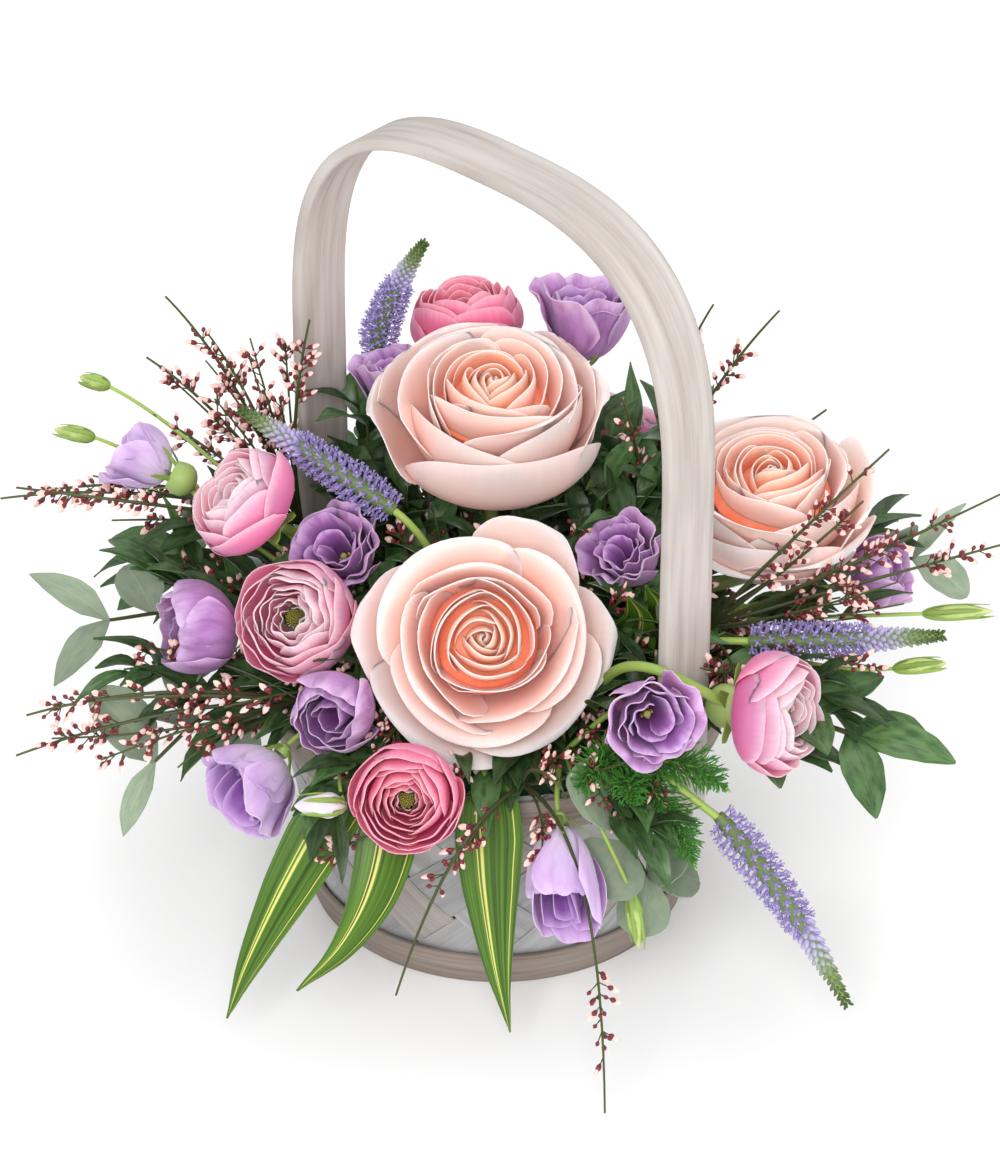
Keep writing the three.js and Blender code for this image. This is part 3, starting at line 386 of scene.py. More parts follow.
# chip wood, split with the grain and washed with thin lime: dry and matt, the lime stays in the pores
# and wears off the ridges; width and length are the strip's and fibre is one fibre's width, all in mm,
# and drawn coarser than a real fibre, so that the grain shows
def woodMaterial(name, base, wash, grain, washShare, width=28, length=200, fibre=0.9):
    wood = startMaterial(name, {"Roughness": 0.82, "IOR": 1.5, "Specular IOR Level": 0.25})
    fibreLength, bandLength, bandFibres = 45, 90, 6
    lines = streaks(wood, width / fibre, length / fibreLength, 5.0)
    bands = streaks(wood, width / fibre / bandFibres, length / bandLength, 2.0)
    colour = laidOver(wood, grain, base, lines, 0.35, 0.62)
    colour = laidOver(wood, colour, wash, bands, 0.3, 0.65, min(1.0, washShare * 1.35), washShare * 0.55)
    return closeMaterial(wood, colour, lines, 0.5, 0.5, (0.88, 1.1))


# a plain matt body whose surface is a fine grit: grit and height are in mm, the grit about twice the
# real one's, so that it shows
def grainyMaterial(name, light, dark, grit, roughness=0.9, height=0.6):
    body = startMaterial(name, {"Roughness": roughness})
    coords = addNode(body, "TexCoord", output=3)
    noise = addNode(body, "TexNoise", {"Vector": coords, "Scale": 1 / (grit * mm), "Detail": 4.0})
    colour = addNode(body, "Mix", {0: noise, 6: dark, 7: light}, 2, data_type="RGBA")
    return closeMaterial(body, colour, noise, 0.6, height)


# basket

basket = {
    "footRadius": 80, "rimRadius": 99, "height": 110, "lowEdge": 1.0,
    "strips": 14, "stripShare": 0.93, "stripThick": 0.9, "wallInset": 1.3, "lift": 0.75, "edgeDip": 0.12,
    "rubbedShare": 0.22,  # of the strips, with most of their lime gone
    "hoopThick": 2.6, "hoopGap": 0.65, "hoopEase": 0.5, "baseHoopHeight": 16, "rimHoopHeight": 18,
}
handle = {
    "turn": -43.25, "reach": 108.6, "top": 360, "shoulder": 239, "foot": 84, "squareness": 2.85,
    "width": 28, "thick": 5.4, "edge": 1.3, "tackRadius": 2.4, "tackAside": 7,
    "tackDome": [(-0.4, 1.0), (0.3, 1.0), (0.9, 0.82), (1.3, 0.5), (1.45, 0.12)],  # rise, share of radius
}


def wallRadius(z):
    return basket["footRadius"] + (basket["rimRadius"] - basket["footRadius"]) * z / basket["height"]


def plaitedWall():  # two families of strips on the slant, each over one and under the next
    heap = Heap(3)
    middle = 0.5 * (basket["footRadius"] + basket["rimRadius"])
    period = 2 * math.pi * middle / basket["strips"]
    pitch = period / math.sqrt(2)
    half = 0.5 * pitch * basket["stripShare"]
    low, high = basket["lowEdge"], basket["height"]
    rows, cols = 46, 7
    end = 0.5 * (high - low) * math.sqrt(2) + half
    s, w = np.meshgrid(np.linspace(-end, end, rows), np.linspace(-half, half, cols), indexing="ij")
    for family, number in [(family, number) for family in (1, -1) for number in range(basket["strips"])]:
        z = np.clip(0.5 * (low + high) + (s + w * family) / math.sqrt(2), low, high)
        arc = number * period + family * (s - w * family) / math.sqrt(2)
        crossing = (arc + family * (z - 0.5 * (low + high))) / math.sqrt(2)  # along the other family
        over = np.cos(math.pi * (crossing / pitch - number)) * family
        turn = arc / middle
        radius = wallRadius(z) - basket["wallInset"] + basket["lift"] * over
        radius = radius - basket["edgeDip"] * (np.abs(w) / half) ** 4
        grid = np.stack([radius * np.cos(turn), radius * np.sin(turn), z], axis=2)
        alongStrip, acrossStrip = np.linspace(0, 1, rows)[:, None], np.linspace(0, 1, cols)
        data = placeData((rows, cols), alongStrip, acrossStrip, 0, heap.draw())
        heap.sheet(grid[:, ::family], data, basket["stripThick"], int(heap.draw() < basket["rubbedShare"]))
    return heap


def hoop(low, high, chance):  # a flat hoop round the wall, its edges eased
    heap = Heap()
    thick, ease, steps = basket["hoopThick"], basket["hoopEase"], 127
    section = [(0, low + ease), (ease, low), (thick - ease, low), (thick, low + ease),
               (thick, high - ease), (thick - ease, high), (ease, high), (0, high - ease)]
    count = len(section)
    out, z = np.array(section).T
    radius = wallRadius(z) + basket["hoopGap"] + out
    turn = (np.arange(steps) * 2 * math.pi / steps)[:, None]
    points = np.stack([radius * np.cos(turn), radius * np.sin(turn), z + 0 * turn], axis=2)
    data = placeData((steps, count), np.arange(steps)[:, None] / steps, (z - low) / (high - low), 0, chance)
    faces = [(j * count + k, (j + 1) % steps * count + k, (j + 1) % steps * count + (k + 1) % count,
              j * count + (k + 1) % count) for j in range(steps) for k in range(count)]
    heap.add(points, faces, data)
    return heap


def strapHandle():  # a steamed strap bent to a squared arch, its edges eased, tacked to the rim hoop
    heap = Heap()
    power = 2 / handle["squareness"]
    reach = handle["reach"] - handle["thick"] / 2
    rise = handle["top"] - handle["thick"] / 2 - handle["shoulder"]
    turn = np.linspace(0, math.pi, 150)
    arch = np.stack([np.sign(np.cos(turn)) * np.abs(np.cos(turn)) ** power * reach,
                     handle["shoulder"] + np.sin(turn) ** power * rise], axis=1)
    leg = np.linspace((reach, handle["foot"]), (reach, handle["shoulder"]), 40)[:-1]
    line = np.concatenate([leg, arch, leg[::-1] * [-1, 1]])
    line = line[np.concatenate([[True], np.linalg.norm(np.diff(line, axis=0), axis=1) > 0.15])]
    length = np.concatenate([[0], np.cumsum(np.linalg.norm(np.diff(line, axis=0), axis=1))])
    rings = 260
    evenly = np.linspace(0, length[-1], rings)
    line = np.stack([np.interp(evenly, length, line[:, k]) for k in (0, 1)], axis=1)
    tangent = np.gradient(line, axis=0)
    tangent /= np.linalg.norm(tangent, axis=1)[:, None]
    e, w, t = handle["edge"], handle["width"] / 2, handle["thick"] / 2
    section = [(-w + e, -t), (-w + 0.3 * e, -t + 0.3 * e), (-w, -t + e), (-w, t - e),
               (-w + 0.3 * e, t - 0.3 * e), (-w + e, t)] + [(a, t) for a in np.linspace(-w + 3, w - 3, 5)]
    across, deep = np.array(section + [(-a, -d) for a, d in section]).T
    spin = turned((0, 0, 1), handle["turn"])
    points = np.stack([line[:, :1] + tangent[:, 1:] * deep, across + 0 * line[:, :1],
                       line[:, 1:] - tangent[:, :1] * deep], axis=2) @ spin.T
    data = placeData((rings, len(deep)), np.linspace(0, 1, rings)[:, None], across / (2 * w) + 0.5, 0, 0.37)
    heap.add(points, rodFaces(rings, len(deep)), data)
    sides = 14
    turn = np.arange(sides) * 2 * math.pi / sides
    for side, aside in [(side, hand * handle["tackAside"]) for side in (-1, 1) for hand in (-1, 1)]:
        middle = basket["height"] - basket["rimHoopHeight"] / 2
        dome = []  # the tack's domed head
        for rise, share in handle["tackDome"]:
            r = handle["tackRadius"] * share
            dome.append(np.stack([np.full(sides, side * (handle["reach"] + rise)), aside + r * np.cos(turn),
                                  middle + side * r * np.sin(turn)], axis=1))
        heap.add(np.array(dome) @ spin.T, rodFaces(len(dome), sides), (0.5, 0.5, 0, 0.5), 1)
    return heap


print("basket")
# splint of the plaited wall, split from the log and brushed with lime: chalky grey over open grain
limedChip = woodMaterial("limed chip strip", "#8D8B8A", "#A8A8A9", "#6C6A68", 0.75)
# the same splint where hands have rubbed the lime off: warmer, the wood's pink shows through
rubbedChip = woodMaterial("rubbed chip strip", "#998D86", "#ABA7A5", "#776A62", 0.5)
# hoops, bent from a split lath with little lime: the darkest wood, long brown streaks along the bend
limedHoop = woodMaterial("limed hoop", "#8C7D73", "#A39890", "#675A51", 0.4, 17, 550)
# handle, a planed and steamed strap under one even coat of lime: the palest, with its grain just seen
limedStrap = woodMaterial("limed strap", "#9B9087", "#C8C2BD", "#83756B", 0.66, length=740, fibre=1.1)
# zinc tack, stamped and gone dull: a grey glint and no mirror
tackZinc = startMaterial("zinc tack", {
    "Metallic": 1.0, "Roughness": 0.42, "Base Color": hexColour("#8C8F93")}).material
# liner of green polythene film, blown and folded in by hand: a low, slightly uneven shine
linerFilm = grainyMaterial("green film liner", "#3B4239", "#2A2F29", 2.5, 0.45, 0.2)
# bottom board of pressed wood fibre, sawn and left raw: pale, matt and plain
rawBoard = woodMaterial("raw pressed board", "#BDA98C", "#C9B69B", "#94805F", 0.3)
# floral foam, blown phenolic foam soaked with water: dark green, no shine, an open fine grit
wetFoam = grainyMaterial("wet floral foam", "#355A38", "#1D3521", 1.1, 0.95, 0.8)

makePiece("wallPlait", plaitedWall(), [limedChip, rubbedChip], ["basket_wall"])
makePiece("baseHoop", hoop(0, basket["baseHoopHeight"], 0.3), [limedHoop], ["base_hoop"])
makePiece("rimHoop", hoop(basket["height"] - basket["rimHoopHeight"], basket["height"], 0.6), [limedHoop],
          ["rim_hoop"])
makePiece("strapHandle", strapHandle(), [limedStrap, tackZinc], ["handle"])
for nodeName, paint in (("base_board", rawBoard), ("liner", linerFilm), ("foam", wetFoam)):
    for cadSlot in frame["nodes"][nodeName].material_slots:
        cadSlot.material = paint


# petals and stems

# one petal: rise is 4 (radius, height) points foot to lip; half is its half width in mm, or fan its half
# width in degrees; lip rounds its end, tip points it, flat opens it out, curlBack rolls its sides
def petal(heap, place, turn, rise, half=0.0, depth=0.0, chance=0.5, rows=12, cols=13, fan=None, lip=0.22,
          power=2.3, tip=0.0, flat=0.0, spiral=0.0, ruffle=0.0, waves=1.0, phase=0.0, thick=0.5, claw=0.35,
          curlBack=0.0, shoulder=0.0, finish=0, inside=None):
    t, s = np.meshgrid(np.linspace(0, 1, rows), np.linspace(-1, 1, cols), indexing="ij")
    side = np.abs(s)
    tau = t * np.minimum(1 - lip * side ** power + tip * np.exp(-(s / 0.2) ** 2) * t ** 3, 1.08)
    u = 1 - tau
    radii, heights = np.array(rise, float).T
    blend = np.stack([u ** 3, 3 * u * u * tau, 3 * u * tau ** 2, tau ** 3], axis=2)
    radius, height = blend @ radii, blend @ heights
    slope = np.stack([u * u, 2 * u * tau, tau ** 2], axis=2)
    outward, upward = slope @ np.diff(radii), slope @ np.diff(heights)
    size = np.maximum(np.hypot(outward, upward), 1e-6)
    opened = claw + (1 - claw) * np.sin(0.5 * math.pi * np.minimum(1, tau / 0.62)) ** 1.2
    opened = opened * (1 - shoulder * smooth(0.5, 1.0, t))
    angle = math.radians(fan) * s * opened if fan else half * s * opened / np.maximum(radius, 2.5)
    angle = np.clip(angle, -2.9, 2.9)
    radius = radius * (1 + flat * (1 / np.cos(np.minimum(np.abs(angle), 1.0)) - 1))
    out = curlBack * smooth(0.35, 1.0, side) ** 2 * smooth(0.3, 1.0, tau)
    out = out + ruffle * np.sin(waves * math.pi * s + phase) * smooth(0.4, 1.0, tau)
    radius = radius + out * upward / size + spiral * s * smooth(0.0, 0.6, tau)
    height = height - out * outward / size
    grid = np.stack([radius * np.cos(turn + angle), radius * np.sin(turn + angle), height], axis=2)
    # the pale lip colour runs round the side edges as well: partly the petal's own pale rim, partly a
    # painted highlight along it
    data = placeData(t.shape, np.maximum(t, side ** 5 * (0.45 + 0.55 * t)), 0.5 + 0.5 * s, depth, chance)
    heap.sheet(put(place, grid), data, thick, finish, inside)


# five green sepals; riseOf gives a sepal's line for a chance between 0 and 1
def sepals(heap, place, half, wander, riseOf, rows=8, lip=0.6, thick=0.4):
    for k in range(5):
        turn = 2 * math.pi * (k + wander * heap.draw()) / 5
        petal(heap, place, turn, riseOf(heap.draw()), half, 1.0, heap.draw(), rows, 5, lip=lip, thick=thick,
              claw=0.8, finish=1)


# the sepals of a rose or a ranunculus: they lie against the bloom or fold back
def calyx(heap, place, length, half, droop, seat):
    def riseOf(chance):
        reach = length * (0.85 + 0.3 * chance)
        return [(1.6, -3.5), (seat, -3.0), (seat + 0.5 * reach, -2.2 - 0.4 * droop),
                (seat + 0.8 * reach, -1.5 - droop)]
    sepals(heap, place, half, 0.2, riseOf, 7, 0.75, 0.5)


def cupUnder(heap, place, wide, deep, finish):  # the swollen green cup right under a bloom
    standing(heap, place, np.array([1.0, 0.94, 0.82, 0.62, 0.4, 0.2, 0.02]) * -deep,
             np.array([0.25, 0.5, 0.78, 0.97, 1.0, 0.95, 0.85]) * wide, 14, finish)


# from its hole in the foam up to a bloom or a fork, which it meets in the direction along
def stemLine(foot, end, along, lift=0.35, bend=None):
    start = np.array([foot[0], foot[1], crown])
    end = np.asarray(end, float)
    span = np.linalg.norm(end - start)
    first, second = bend or (start + [0, 0, min(span * lift, 30)], end - np.asarray(along) * span * 0.35)
    curve = bezier([start, first, second, end], 26)
    return np.vstack([[foot[0], foot[1], 80.0], [foot[0], foot[1], 100.0], curve])


def bloomStem(heap, spec, radius):
    seat = spec["seat"]
    reach = math.hypot(seat[0], seat[1])
    kept = min(reach * 0.5, 64) / max(reach, 1)
    axis = axisOf(spec["turn"], spec["tilt"])
    options = {key: spec[key] for key in ("lift", "bend") if key in spec}
    line = stemLine(spec.get("foot", (seat[0] * kept, seat[1] * kept)), seat - 5 * axis, axis, **options)
    heap.tube(line, radius, 9, 0, 0.4)


# the stalk out of the foam up to where a spray forks
def forkStalk(heap, spec, rise, radius, sides, finish, chance=0.5):
    foot, fork = spec["foot"], np.array(spec["fork"], float)
    along = unit([fork[0] - foot[0], fork[1] - foot[1], rise])
    heap.tube(stemLine(foot, fork, along), radius, sides, finish, chance)
    return fork


def shoot(heap, start, end, along, radius, via):
    end = np.array(end, float)
    middle = via or end - along * np.linalg.norm(end - start) * 0.4
    heap.tube(bezier([start, middle, end], 14), np.linspace(radius, 0.75 * radius, 14), 7)


# roses

# rings of the heart: how many petals, the radius and height of their lips and of the low and the high
# point that they bulge through, half a petal's fan in degrees, its roll, its spiral, its colour's depth
rose = {
    "heart": [
        (2, (1.0, 48.6), (5, 26), (4.6, 45), 165, 0.1, 1.0, 1.0),
        (3, (3.6, 49.4), (8, 26), (7.6, 45), 112, 0.6, 1.6, 1.0),
        (3, (7.0, 50.0), (11, 26), (11.0, 45), 104, 1.0, 2.0, 1.0),
        (3, (11.2, 50.4), (14, 26), (14.6, 45), 98, 1.5, 2.4, 0.85),
        (3, (16.0, 50.0), (18, 24), (18.6, 47), 92, 2.2, 2.8, 0.5),
        (3, (20.4, 49.6), (21, 20), (21.2, 47.5), 86, 2.4, 3.0, 0.35),
        (3, (24.5, 48.5), (25, 16), (24.5, 48), 88, 2.6, 3.2, 0.2),
        (3, (32.5, 44.5), (29, 8), (30.0, 47), 84, 4.0, 3.4, 0.05),
    ],
    "floorHeights": [22, 31, 35.5, 39, 41, 42], "floorRadii": [20, 22.5, 19, 13, 6.5, 0.6],
    "petalThick": 0.42, "cup": (6.5, 9), "sepal": (20, 3.6), "stemRadius": 3.0,
    # each rose's outer petals: the way it points (0 is down to the front), lip radius and height, fan,
    # roll, point
    "blooms": {
        "front": {"seat": (-6, -44, 151), "turn": -90, "tilt": 52, "size": 1.0, "foot": (-4, -20),
                  "seed": 5, "bowl": 31, "swell": 1.0, "outer": [
                      (-20, 42, 37.0, 84, 5.0, 0.02), (98, 42, 37.5, 84, 4.5, 0.03),
                      (-140, 43, 36.5, 82, 5.0, 0.02), (40, 49, 30, 66, 6, 0.04), (150, 53, 25, 48, 3, 0.15),
                      (-100, 52, 26, 54, 4, 0.13), (-30, 50, 27, 60, 6, 0.02), (86, 53, 25, 48, 4, 0.14)]},
        "back": {"seat": (-3, 44, 187), "turn": -82, "tilt": 9, "size": 0.96, "foot": (-2, 30),
                 "seed": 8, "bowl": 52, "swell": 1.12, "outer": [
                     (-46, 35, 38, 84, 1.4, 0.02), (48, 36, 40, 84, 1.4, 0.02), (165, 40, 43, 84, 3, 0.03),
                     (4, 43, 33, 86, 1.4, 0.03), (118, 47, 41, 60, 3, 0.08), (-150, 46, 41, 60, 3, 0.06),
                     (-98, 54, 34, 50, 5.0, 0.1), (84, 49, 39, 50, 3, 0.08)]},
        "right": {"seat": (118, 20, 160), "turn": -110, "tilt": 7, "size": 0.88, "foot": (58, 12),
                  "seed": 12, "bowl": 46, "swell": 1.12, "outer": [
                      (-50, 36, 38, 84, 1.6, 0.02), (60, 38, 41, 84, 1.6, 0.02), (180, 40, 44, 84, 3, 0.02),
                      (10, 43, 31, 80, 1.6, 0.04), (52, 50, 24, 66, 5, 0.06), (-74, 49, 26, 62, 5, 0.06),
                      (-12, 47, 17, 70, 4, 0.04), (110, 50, 38, 60, 4, 0.06), (-150, 48, 42, 60, 3, 0.06)]},
    },
}


def rosePetals(spec):
    heap = Heap(spec["seed"])
    place = placeOf(spec)
    start = heap.draw(0, 6)
    for number, (count, lip, low, high, fan, rollBack, spiral, depth) in enumerate(rose["heart"]):
        outer = number / 9
        start += goldenTurn
        for k in range(count):
            turn = start + 2 * math.pi * (k + heap.draw(-0.2, 0.2)) / count
            roll = rollBack * heap.draw(0.75, 1.25)
            swell = spec["swell"] * heap.draw(0.9, 1.06 + 0.08 * outer)
            lift = (1.0 + 4.5 * outer) * heap.draw(-0.5, 0.5)
            rise = [(3.5 + 0.25 * number, 3 - 0.2 * number), (low[0] * spec["swell"], low[1]),
                    (high[0] * swell, high[1] + lift), (lip[0] * swell + 0.3 * roll, lip[1] + lift)]
            petal(heap, place, turn, rise, 0, depth, heap.draw(), 16, 23,
                  fan=fan * heap.draw(0.95, 1.05), lip=0.65 + 0.1 * outer, power=3.2, tip=0.02,
                  flat=0.04 + 0.16 * outer, spiral=spiral, ruffle=0.25 + 0.6 * outer,
                  waves=heap.draw(1, 2.2), phase=heap.draw(0, 6), thick=rose["petalThick"],
                  curlBack=0.4 * roll)
    for number, (way, lipRadius, lipHeight, fan, roll, point) in enumerate(spec["outer"]):
        guard = number > 2  # the outermost petals, which open out
        roll *= heap.draw(0.9, 1.1)
        rise = [(5.2, 1.5), (spec["bowl"], -8) if guard else (0.8 * spec["bowl"], 6),
                (lipRadius - 0.3 * roll - 4, lipHeight + 1.2 * roll + 1),
                (lipRadius + 0.25 * roll, lipHeight)]
        if roll < 2:  # an upright petal that still hugs the bloom
            rise[2] = (lipRadius + 3, 0.62 * lipHeight)
        petal(heap, place, math.radians(way), rise, 0, 0.0 if guard else 0.16, heap.draw(), 20, 31, fan=fan,
              lip=0.72, power=3.6 if point < 0.07 else 1.9, tip=point, flat=0.25 if fan < 62 else 0.04,
              spiral=2.4, ruffle=1.2, waves=heap.draw(0.9, 1.9), phase=heap.draw(0, 6),
              thick=rose["petalThick"], curlBack=0.5 * roll)
    # the crowded petals between the rings, seen only as a warm floor under the lips, in the inner petals'
    # coral:
    # its peach is a painted glow of light through the petals, and its darker coral towards the low rim is
    # painted shade of the deep gaps
    standing(heap, place, rose["floorHeights"], np.array(rose["floorRadii"]) * spec["swell"], 28, 0,
             depth=1, shades=(0.66, 0.9))
    return heap


def roseGreens(spec):
    heap = Heap(spec["seed"] + 100)
    place = placeOf(spec, 15)
    cupUnder(heap, place, *rose["cup"], 0)
    calyx(heap, place, *rose["sepal"], 5, 6)
    bloomStem(heap, spec, rose["stemRadius"])
    return heap


# ranunculi

# rings: petals in the ring, lip radius and height, belly radius and height, half width, colour's depth
ranunculus = {
    "rings": [
        (4, (4.4, 21.0), (6.5, 16), 5.5, 1.0), (5, (6.4, 23.6), (9.0, 17), 8.5, 1.0),
        (5, (8.9, 25.6), (12.0, 17), 10.5, 0.95), (5, (11.6, 27.2), (15.0, 16), 13.0, 0.85),
        (5, (14.4, 28.2), (18.0, 15), 15.5, 0.7), (5, (17.8, 28.0), (21.0, 13), 18.0, 0.5),
        (5, (21.6, 25.6), (23.8, 10), 20.0, 0.25), (4, (24.8, 20.5), (25.2, 6), 23.0, 0.0),
    ],
    "petalThick": 0.32, "eye": 3.6, "seeds": 44, "stamens": 36, "stemRadius": 2.2, "ball": 5.2,
    "blooms": {
        "left_upper": {"seat": (-97, 4, 182), "turn": -170, "tilt": 45, "size": 0.98, "foot": (-48, 24),
                       "bend": [(-50, 30, 140), (-84, 36, 152)], "seed": 21},
        "left_lower": {"seat": (-80, -30, 152), "turn": -112, "tilt": 50, "size": 1.02, "seed": 22,
                       "loose": 2.0},
        "front": {"seat": (-36, -112, 125), "turn": -95, "tilt": 66, "size": 0.9, "foot": (-32, -66),
                  "lift": 0.05, "seed": 23, "hot": True},
        "right": {"seat": (101, -84, 147), "turn": -27, "tilt": 79, "size": 1.02, "foot": (40, -54),
                  "bend": [(44, -86, 190), (74, -108, 178)], "seed": 24, "ball": 9.5},
        "back_upper": {"seat": (-12, 106, 203), "turn": 120, "tilt": 15, "size": 1.02, "foot": (-20, 66),
                       "seed": 25, "hot": True},
        "back_lower": {"seat": (46, 100, 150), "turn": 66, "tilt": 50, "size": 0.96, "seed": 26},
    },
}


def ranunculusPetals(spec):
    heap = Heap(spec["seed"])
    place = placeOf(spec)
    loose = spec.get("loose", 1)
    for number, (count, lip, belly, half, depth) in enumerate(ranunculus["rings"]):
        for k in range(count):
            turn = number * goldenTurn + 2 * math.pi * (k + heap.draw(-0.125, 0.125)) / count
            lipRadius = lip[0] * heap.draw(0.9, 1.06)
            lipHeight = lip[1] + loose * heap.draw(-1.3, 1.3)
            rise = [(2.5, 0.8), (belly[0] * 1.12, belly[1] * 0.25), (belly[0] * 1.02, lipHeight * 0.72),
                    (lipRadius, lipHeight)]
            petal(heap, place, turn, rise, half * heap.draw(0.95, 1.1), depth, heap.draw(), lip=0.3,
                  power=2.8, tip=heap.draw(0, 0.04), shoulder=0.12, spiral=0.9, ruffle=0.45 * loose,
                  waves=heap.draw(1.5, 2.5), phase=heap.draw(0, 6), thick=ranunculus["petalThick"])
    eye = ranunculus["eye"]
    for k in range(ranunculus["seeds"]):  # the seeds' green knob
        r = eye * math.sqrt((k + 0.5) / ranunculus["seeds"])
        z = 17.5 + 3.2 * math.sqrt(max(0, 1 - (r / (eye * 1.1)) ** 2))
        line = np.linspace(polar(r, k * goldenTurn, z - 1.4), polar(1.08 * r, k * goldenTurn, z + 0.5), 3)
        heap.tube(put(place, line), [0.5, 0.55, 0.2], 6, 1, heap.draw())
    for k in range(ranunculus["stamens"]):  # dark stamens round it
        turn = 2 * math.pi * k / ranunculus["stamens"]
        r = eye + 0.6 + heap.draw(0, 1.2)
        line = np.linspace(polar(0.8 * r, turn, 14), polar(r, turn, heap.draw(19, 20.5)), 3)
        heap.tube(put(place, line), [0.25, 0.25, 0.55], 6, 2, heap.draw())
    return heap


def ranunculusGreens(spec):
    heap = Heap(spec["seed"] + 100)
    place = placeOf(spec)
    ball = spec.get("ball", ranunculus["ball"])
    cupUnder(heap, place, ball, 1.9 * ball - 3, 1)
    calyx(heap, place, 10, 4.2, 2, ball)
    bloomStem(heap, spec, ranunculus["stemRadius"])
    return heap


# lisianthi

lisianthus = {
    "whorls": [(5, 1.0), (4, 0.72), (3, 0.4)],  # petals and share of the bell's width, outside in
    "budShape": [(0, 0.3), (0.12, 0.72), (0.35, 0.95), (0.6, 0.9), (0.8, 0.6), (0.95, 0.25), (1, 0.08)],
    "petalThick": 0.36, "stamens": 5, "knob": 3.6, "stemRadius": 1.9, "shootRadius": 1.4, "budRadius": 1.1,
    "blooms": {
        "left_pale": {
            "seat": (-141, 37, 184), "turn": 165, "tilt": 68, "lip": 14, "length": 26, "belly": 12,
            "pale": True, "via": (-118, 42, 148), "knob": 7.5},
        "left_inner": {
            "seat": (-62, 8, 156), "turn": -120, "tilt": 40, "lip": 19, "length": 30, "belly": 14},
        "left_outer": {
            "seat": (-110, -22, 143), "turn": -165, "tilt": 80, "lip": 13, "length": 33, "belly": 18},
        "lower_left": {
            "seat": (-92, -72, 114), "turn": -132, "tilt": 114, "lip": 22, "length": 35, "belly": 17,
            "pale": True, "gape": 180},
        "centre_left": {
            "seat": (-62, -64, 138), "turn": -110, "tilt": 78, "lip": 13, "length": 30, "belly": 16},
        "front_hanging": {
            "seat": (25, -119, 113), "turn": -84, "tilt": 130, "lip": 13, "length": 47, "belly": 13,
            "pale": True, "gape": 180},
        "front_right": {
            "seat": (59, -101, 160), "turn": -80, "tilt": 72, "lip": 19, "length": 27, "belly": 15},
        "centre_right": {
            "seat": (60, -4, 160), "turn": -130, "tilt": 34, "lip": 15, "length": 28, "belly": 12},
        "right_outer": {
            "seat": (150, 4, 150), "turn": -12, "tilt": 66, "lip": 12, "length": 26, "belly": 12},
        "back_top": {
            "seat": (36, 94, 206), "turn": 60, "tilt": 12, "lip": 21, "length": 34, "belly": 15},
        "back_left": {
            "seat": (-41, 74, 190), "turn": 130, "tilt": 20, "lip": 15, "length": 30, "belly": 13},
    },
    # a bud: its middle, turn, tilt and length, and where its shoot bends
    "sprays": {
        "left": {
            "foot": (-38, 4), "fork": (-60, 5, 134), "blooms": ["left_pale", "left_inner", "left_outer"],
            "buds": [((-184, 60, 190), 175, 80, 18, (-132, 42, 182)),
                     ((-176, 80, 204), 170, 75, 14, (-126, 54, 192))]},
        "lower_left": {
            "foot": (-44, -46), "fork": (-54, -56, 124), "blooms": ["lower_left", "centre_left"],
            "buds": [((-73, -121, 124), -165, 80, 22, (-72, -84, 119))], "pale": True},
        "front": {
            "foot": (26, -66), "fork": (27, -84, 123), "blooms": ["front_hanging", "front_right"],
            "buds": [((57, -131, 72), -60, 165, 26, (40, -142, 134))]},
        "right": {
            "foot": (42, -8), "fork": (82, -8, 138), "blooms": ["centre_right", "right_outer"],
            "buds": [((196, -16, 148), -5, 84, 30, None), ((176, -64, 154), -20, 70, 24, None)]},
        "back": {
            "foot": (10, 56), "fork": (10, 60, 140), "blooms": ["back_top", "back_left"], "buds": []},
    },
}


def lisianthusPetals(spec, seed):
    heap = Heap(seed)
    place = placeOf(spec, 20)
    lip, length, belly = spec["lip"], spec["length"], spec["belly"]
    flared = lip > belly
    for layer, (count, share) in enumerate(lisianthus["whorls"]):
        for k in range(count):
            turn = layer * 0.7 + 2 * math.pi * (k + heap.draw(-0.15, 0.15)) / count
            lipRadius = lip * share * heap.draw(0.82, 1.16)
            lipHeight = length * (1 - 0.06 * layer) * heap.draw(0.88, 1.06)
            # a gaping bell has short petals on one side
            if "gape" in spec and abs(math.sin(0.5 * (turn - math.radians(spec["gape"])))) < 0.62:
                lipHeight *= 0.64 if layer == 0 else 0.45
            wide = belly * share
            rise = [(1.5, 1.0), (wide * 1.25, 0.12 * length),
                    (wide * (0.88 if flared else 1.12), 0.8 * length),
                    (lipRadius + (0.9 if flared else 0.15), lipHeight)]
            petal(heap, place, turn, rise, 0, 0.5 * layer, heap.draw(), 16, 21, fan=66 + 8 * layer, lip=0.42,
                  power=3.0, flat=0.12, spiral=1.8, ruffle=(1.7 if flared else 0.9) * share,
                  waves=heap.draw(2, 3.8), phase=heap.draw(0, 6), thick=lisianthus["petalThick"],
                  curlBack=(3.0 if flared else 0.6) * share, inside=min(0.65 + 0.2 * layer, 1))
    for k in range(lisianthus["stamens"]):  # pollen heads round the stigma
        turn = 2 * math.pi * k / lisianthus["stamens"]
        line = np.linspace(polar(1.2, turn, 4), polar(2.4, turn, 0.34 * length), 5)
        heap.tube(put(place, line), [0.4, 0.4, 0.4, 0.9, 0.5], 6, 1)
    standing(heap, place, [3, 0.34 * length, 0.42 * length, 0.45 * length], [1.6, 1.0, 1.6, 0.8], 8, 2)
    return heap


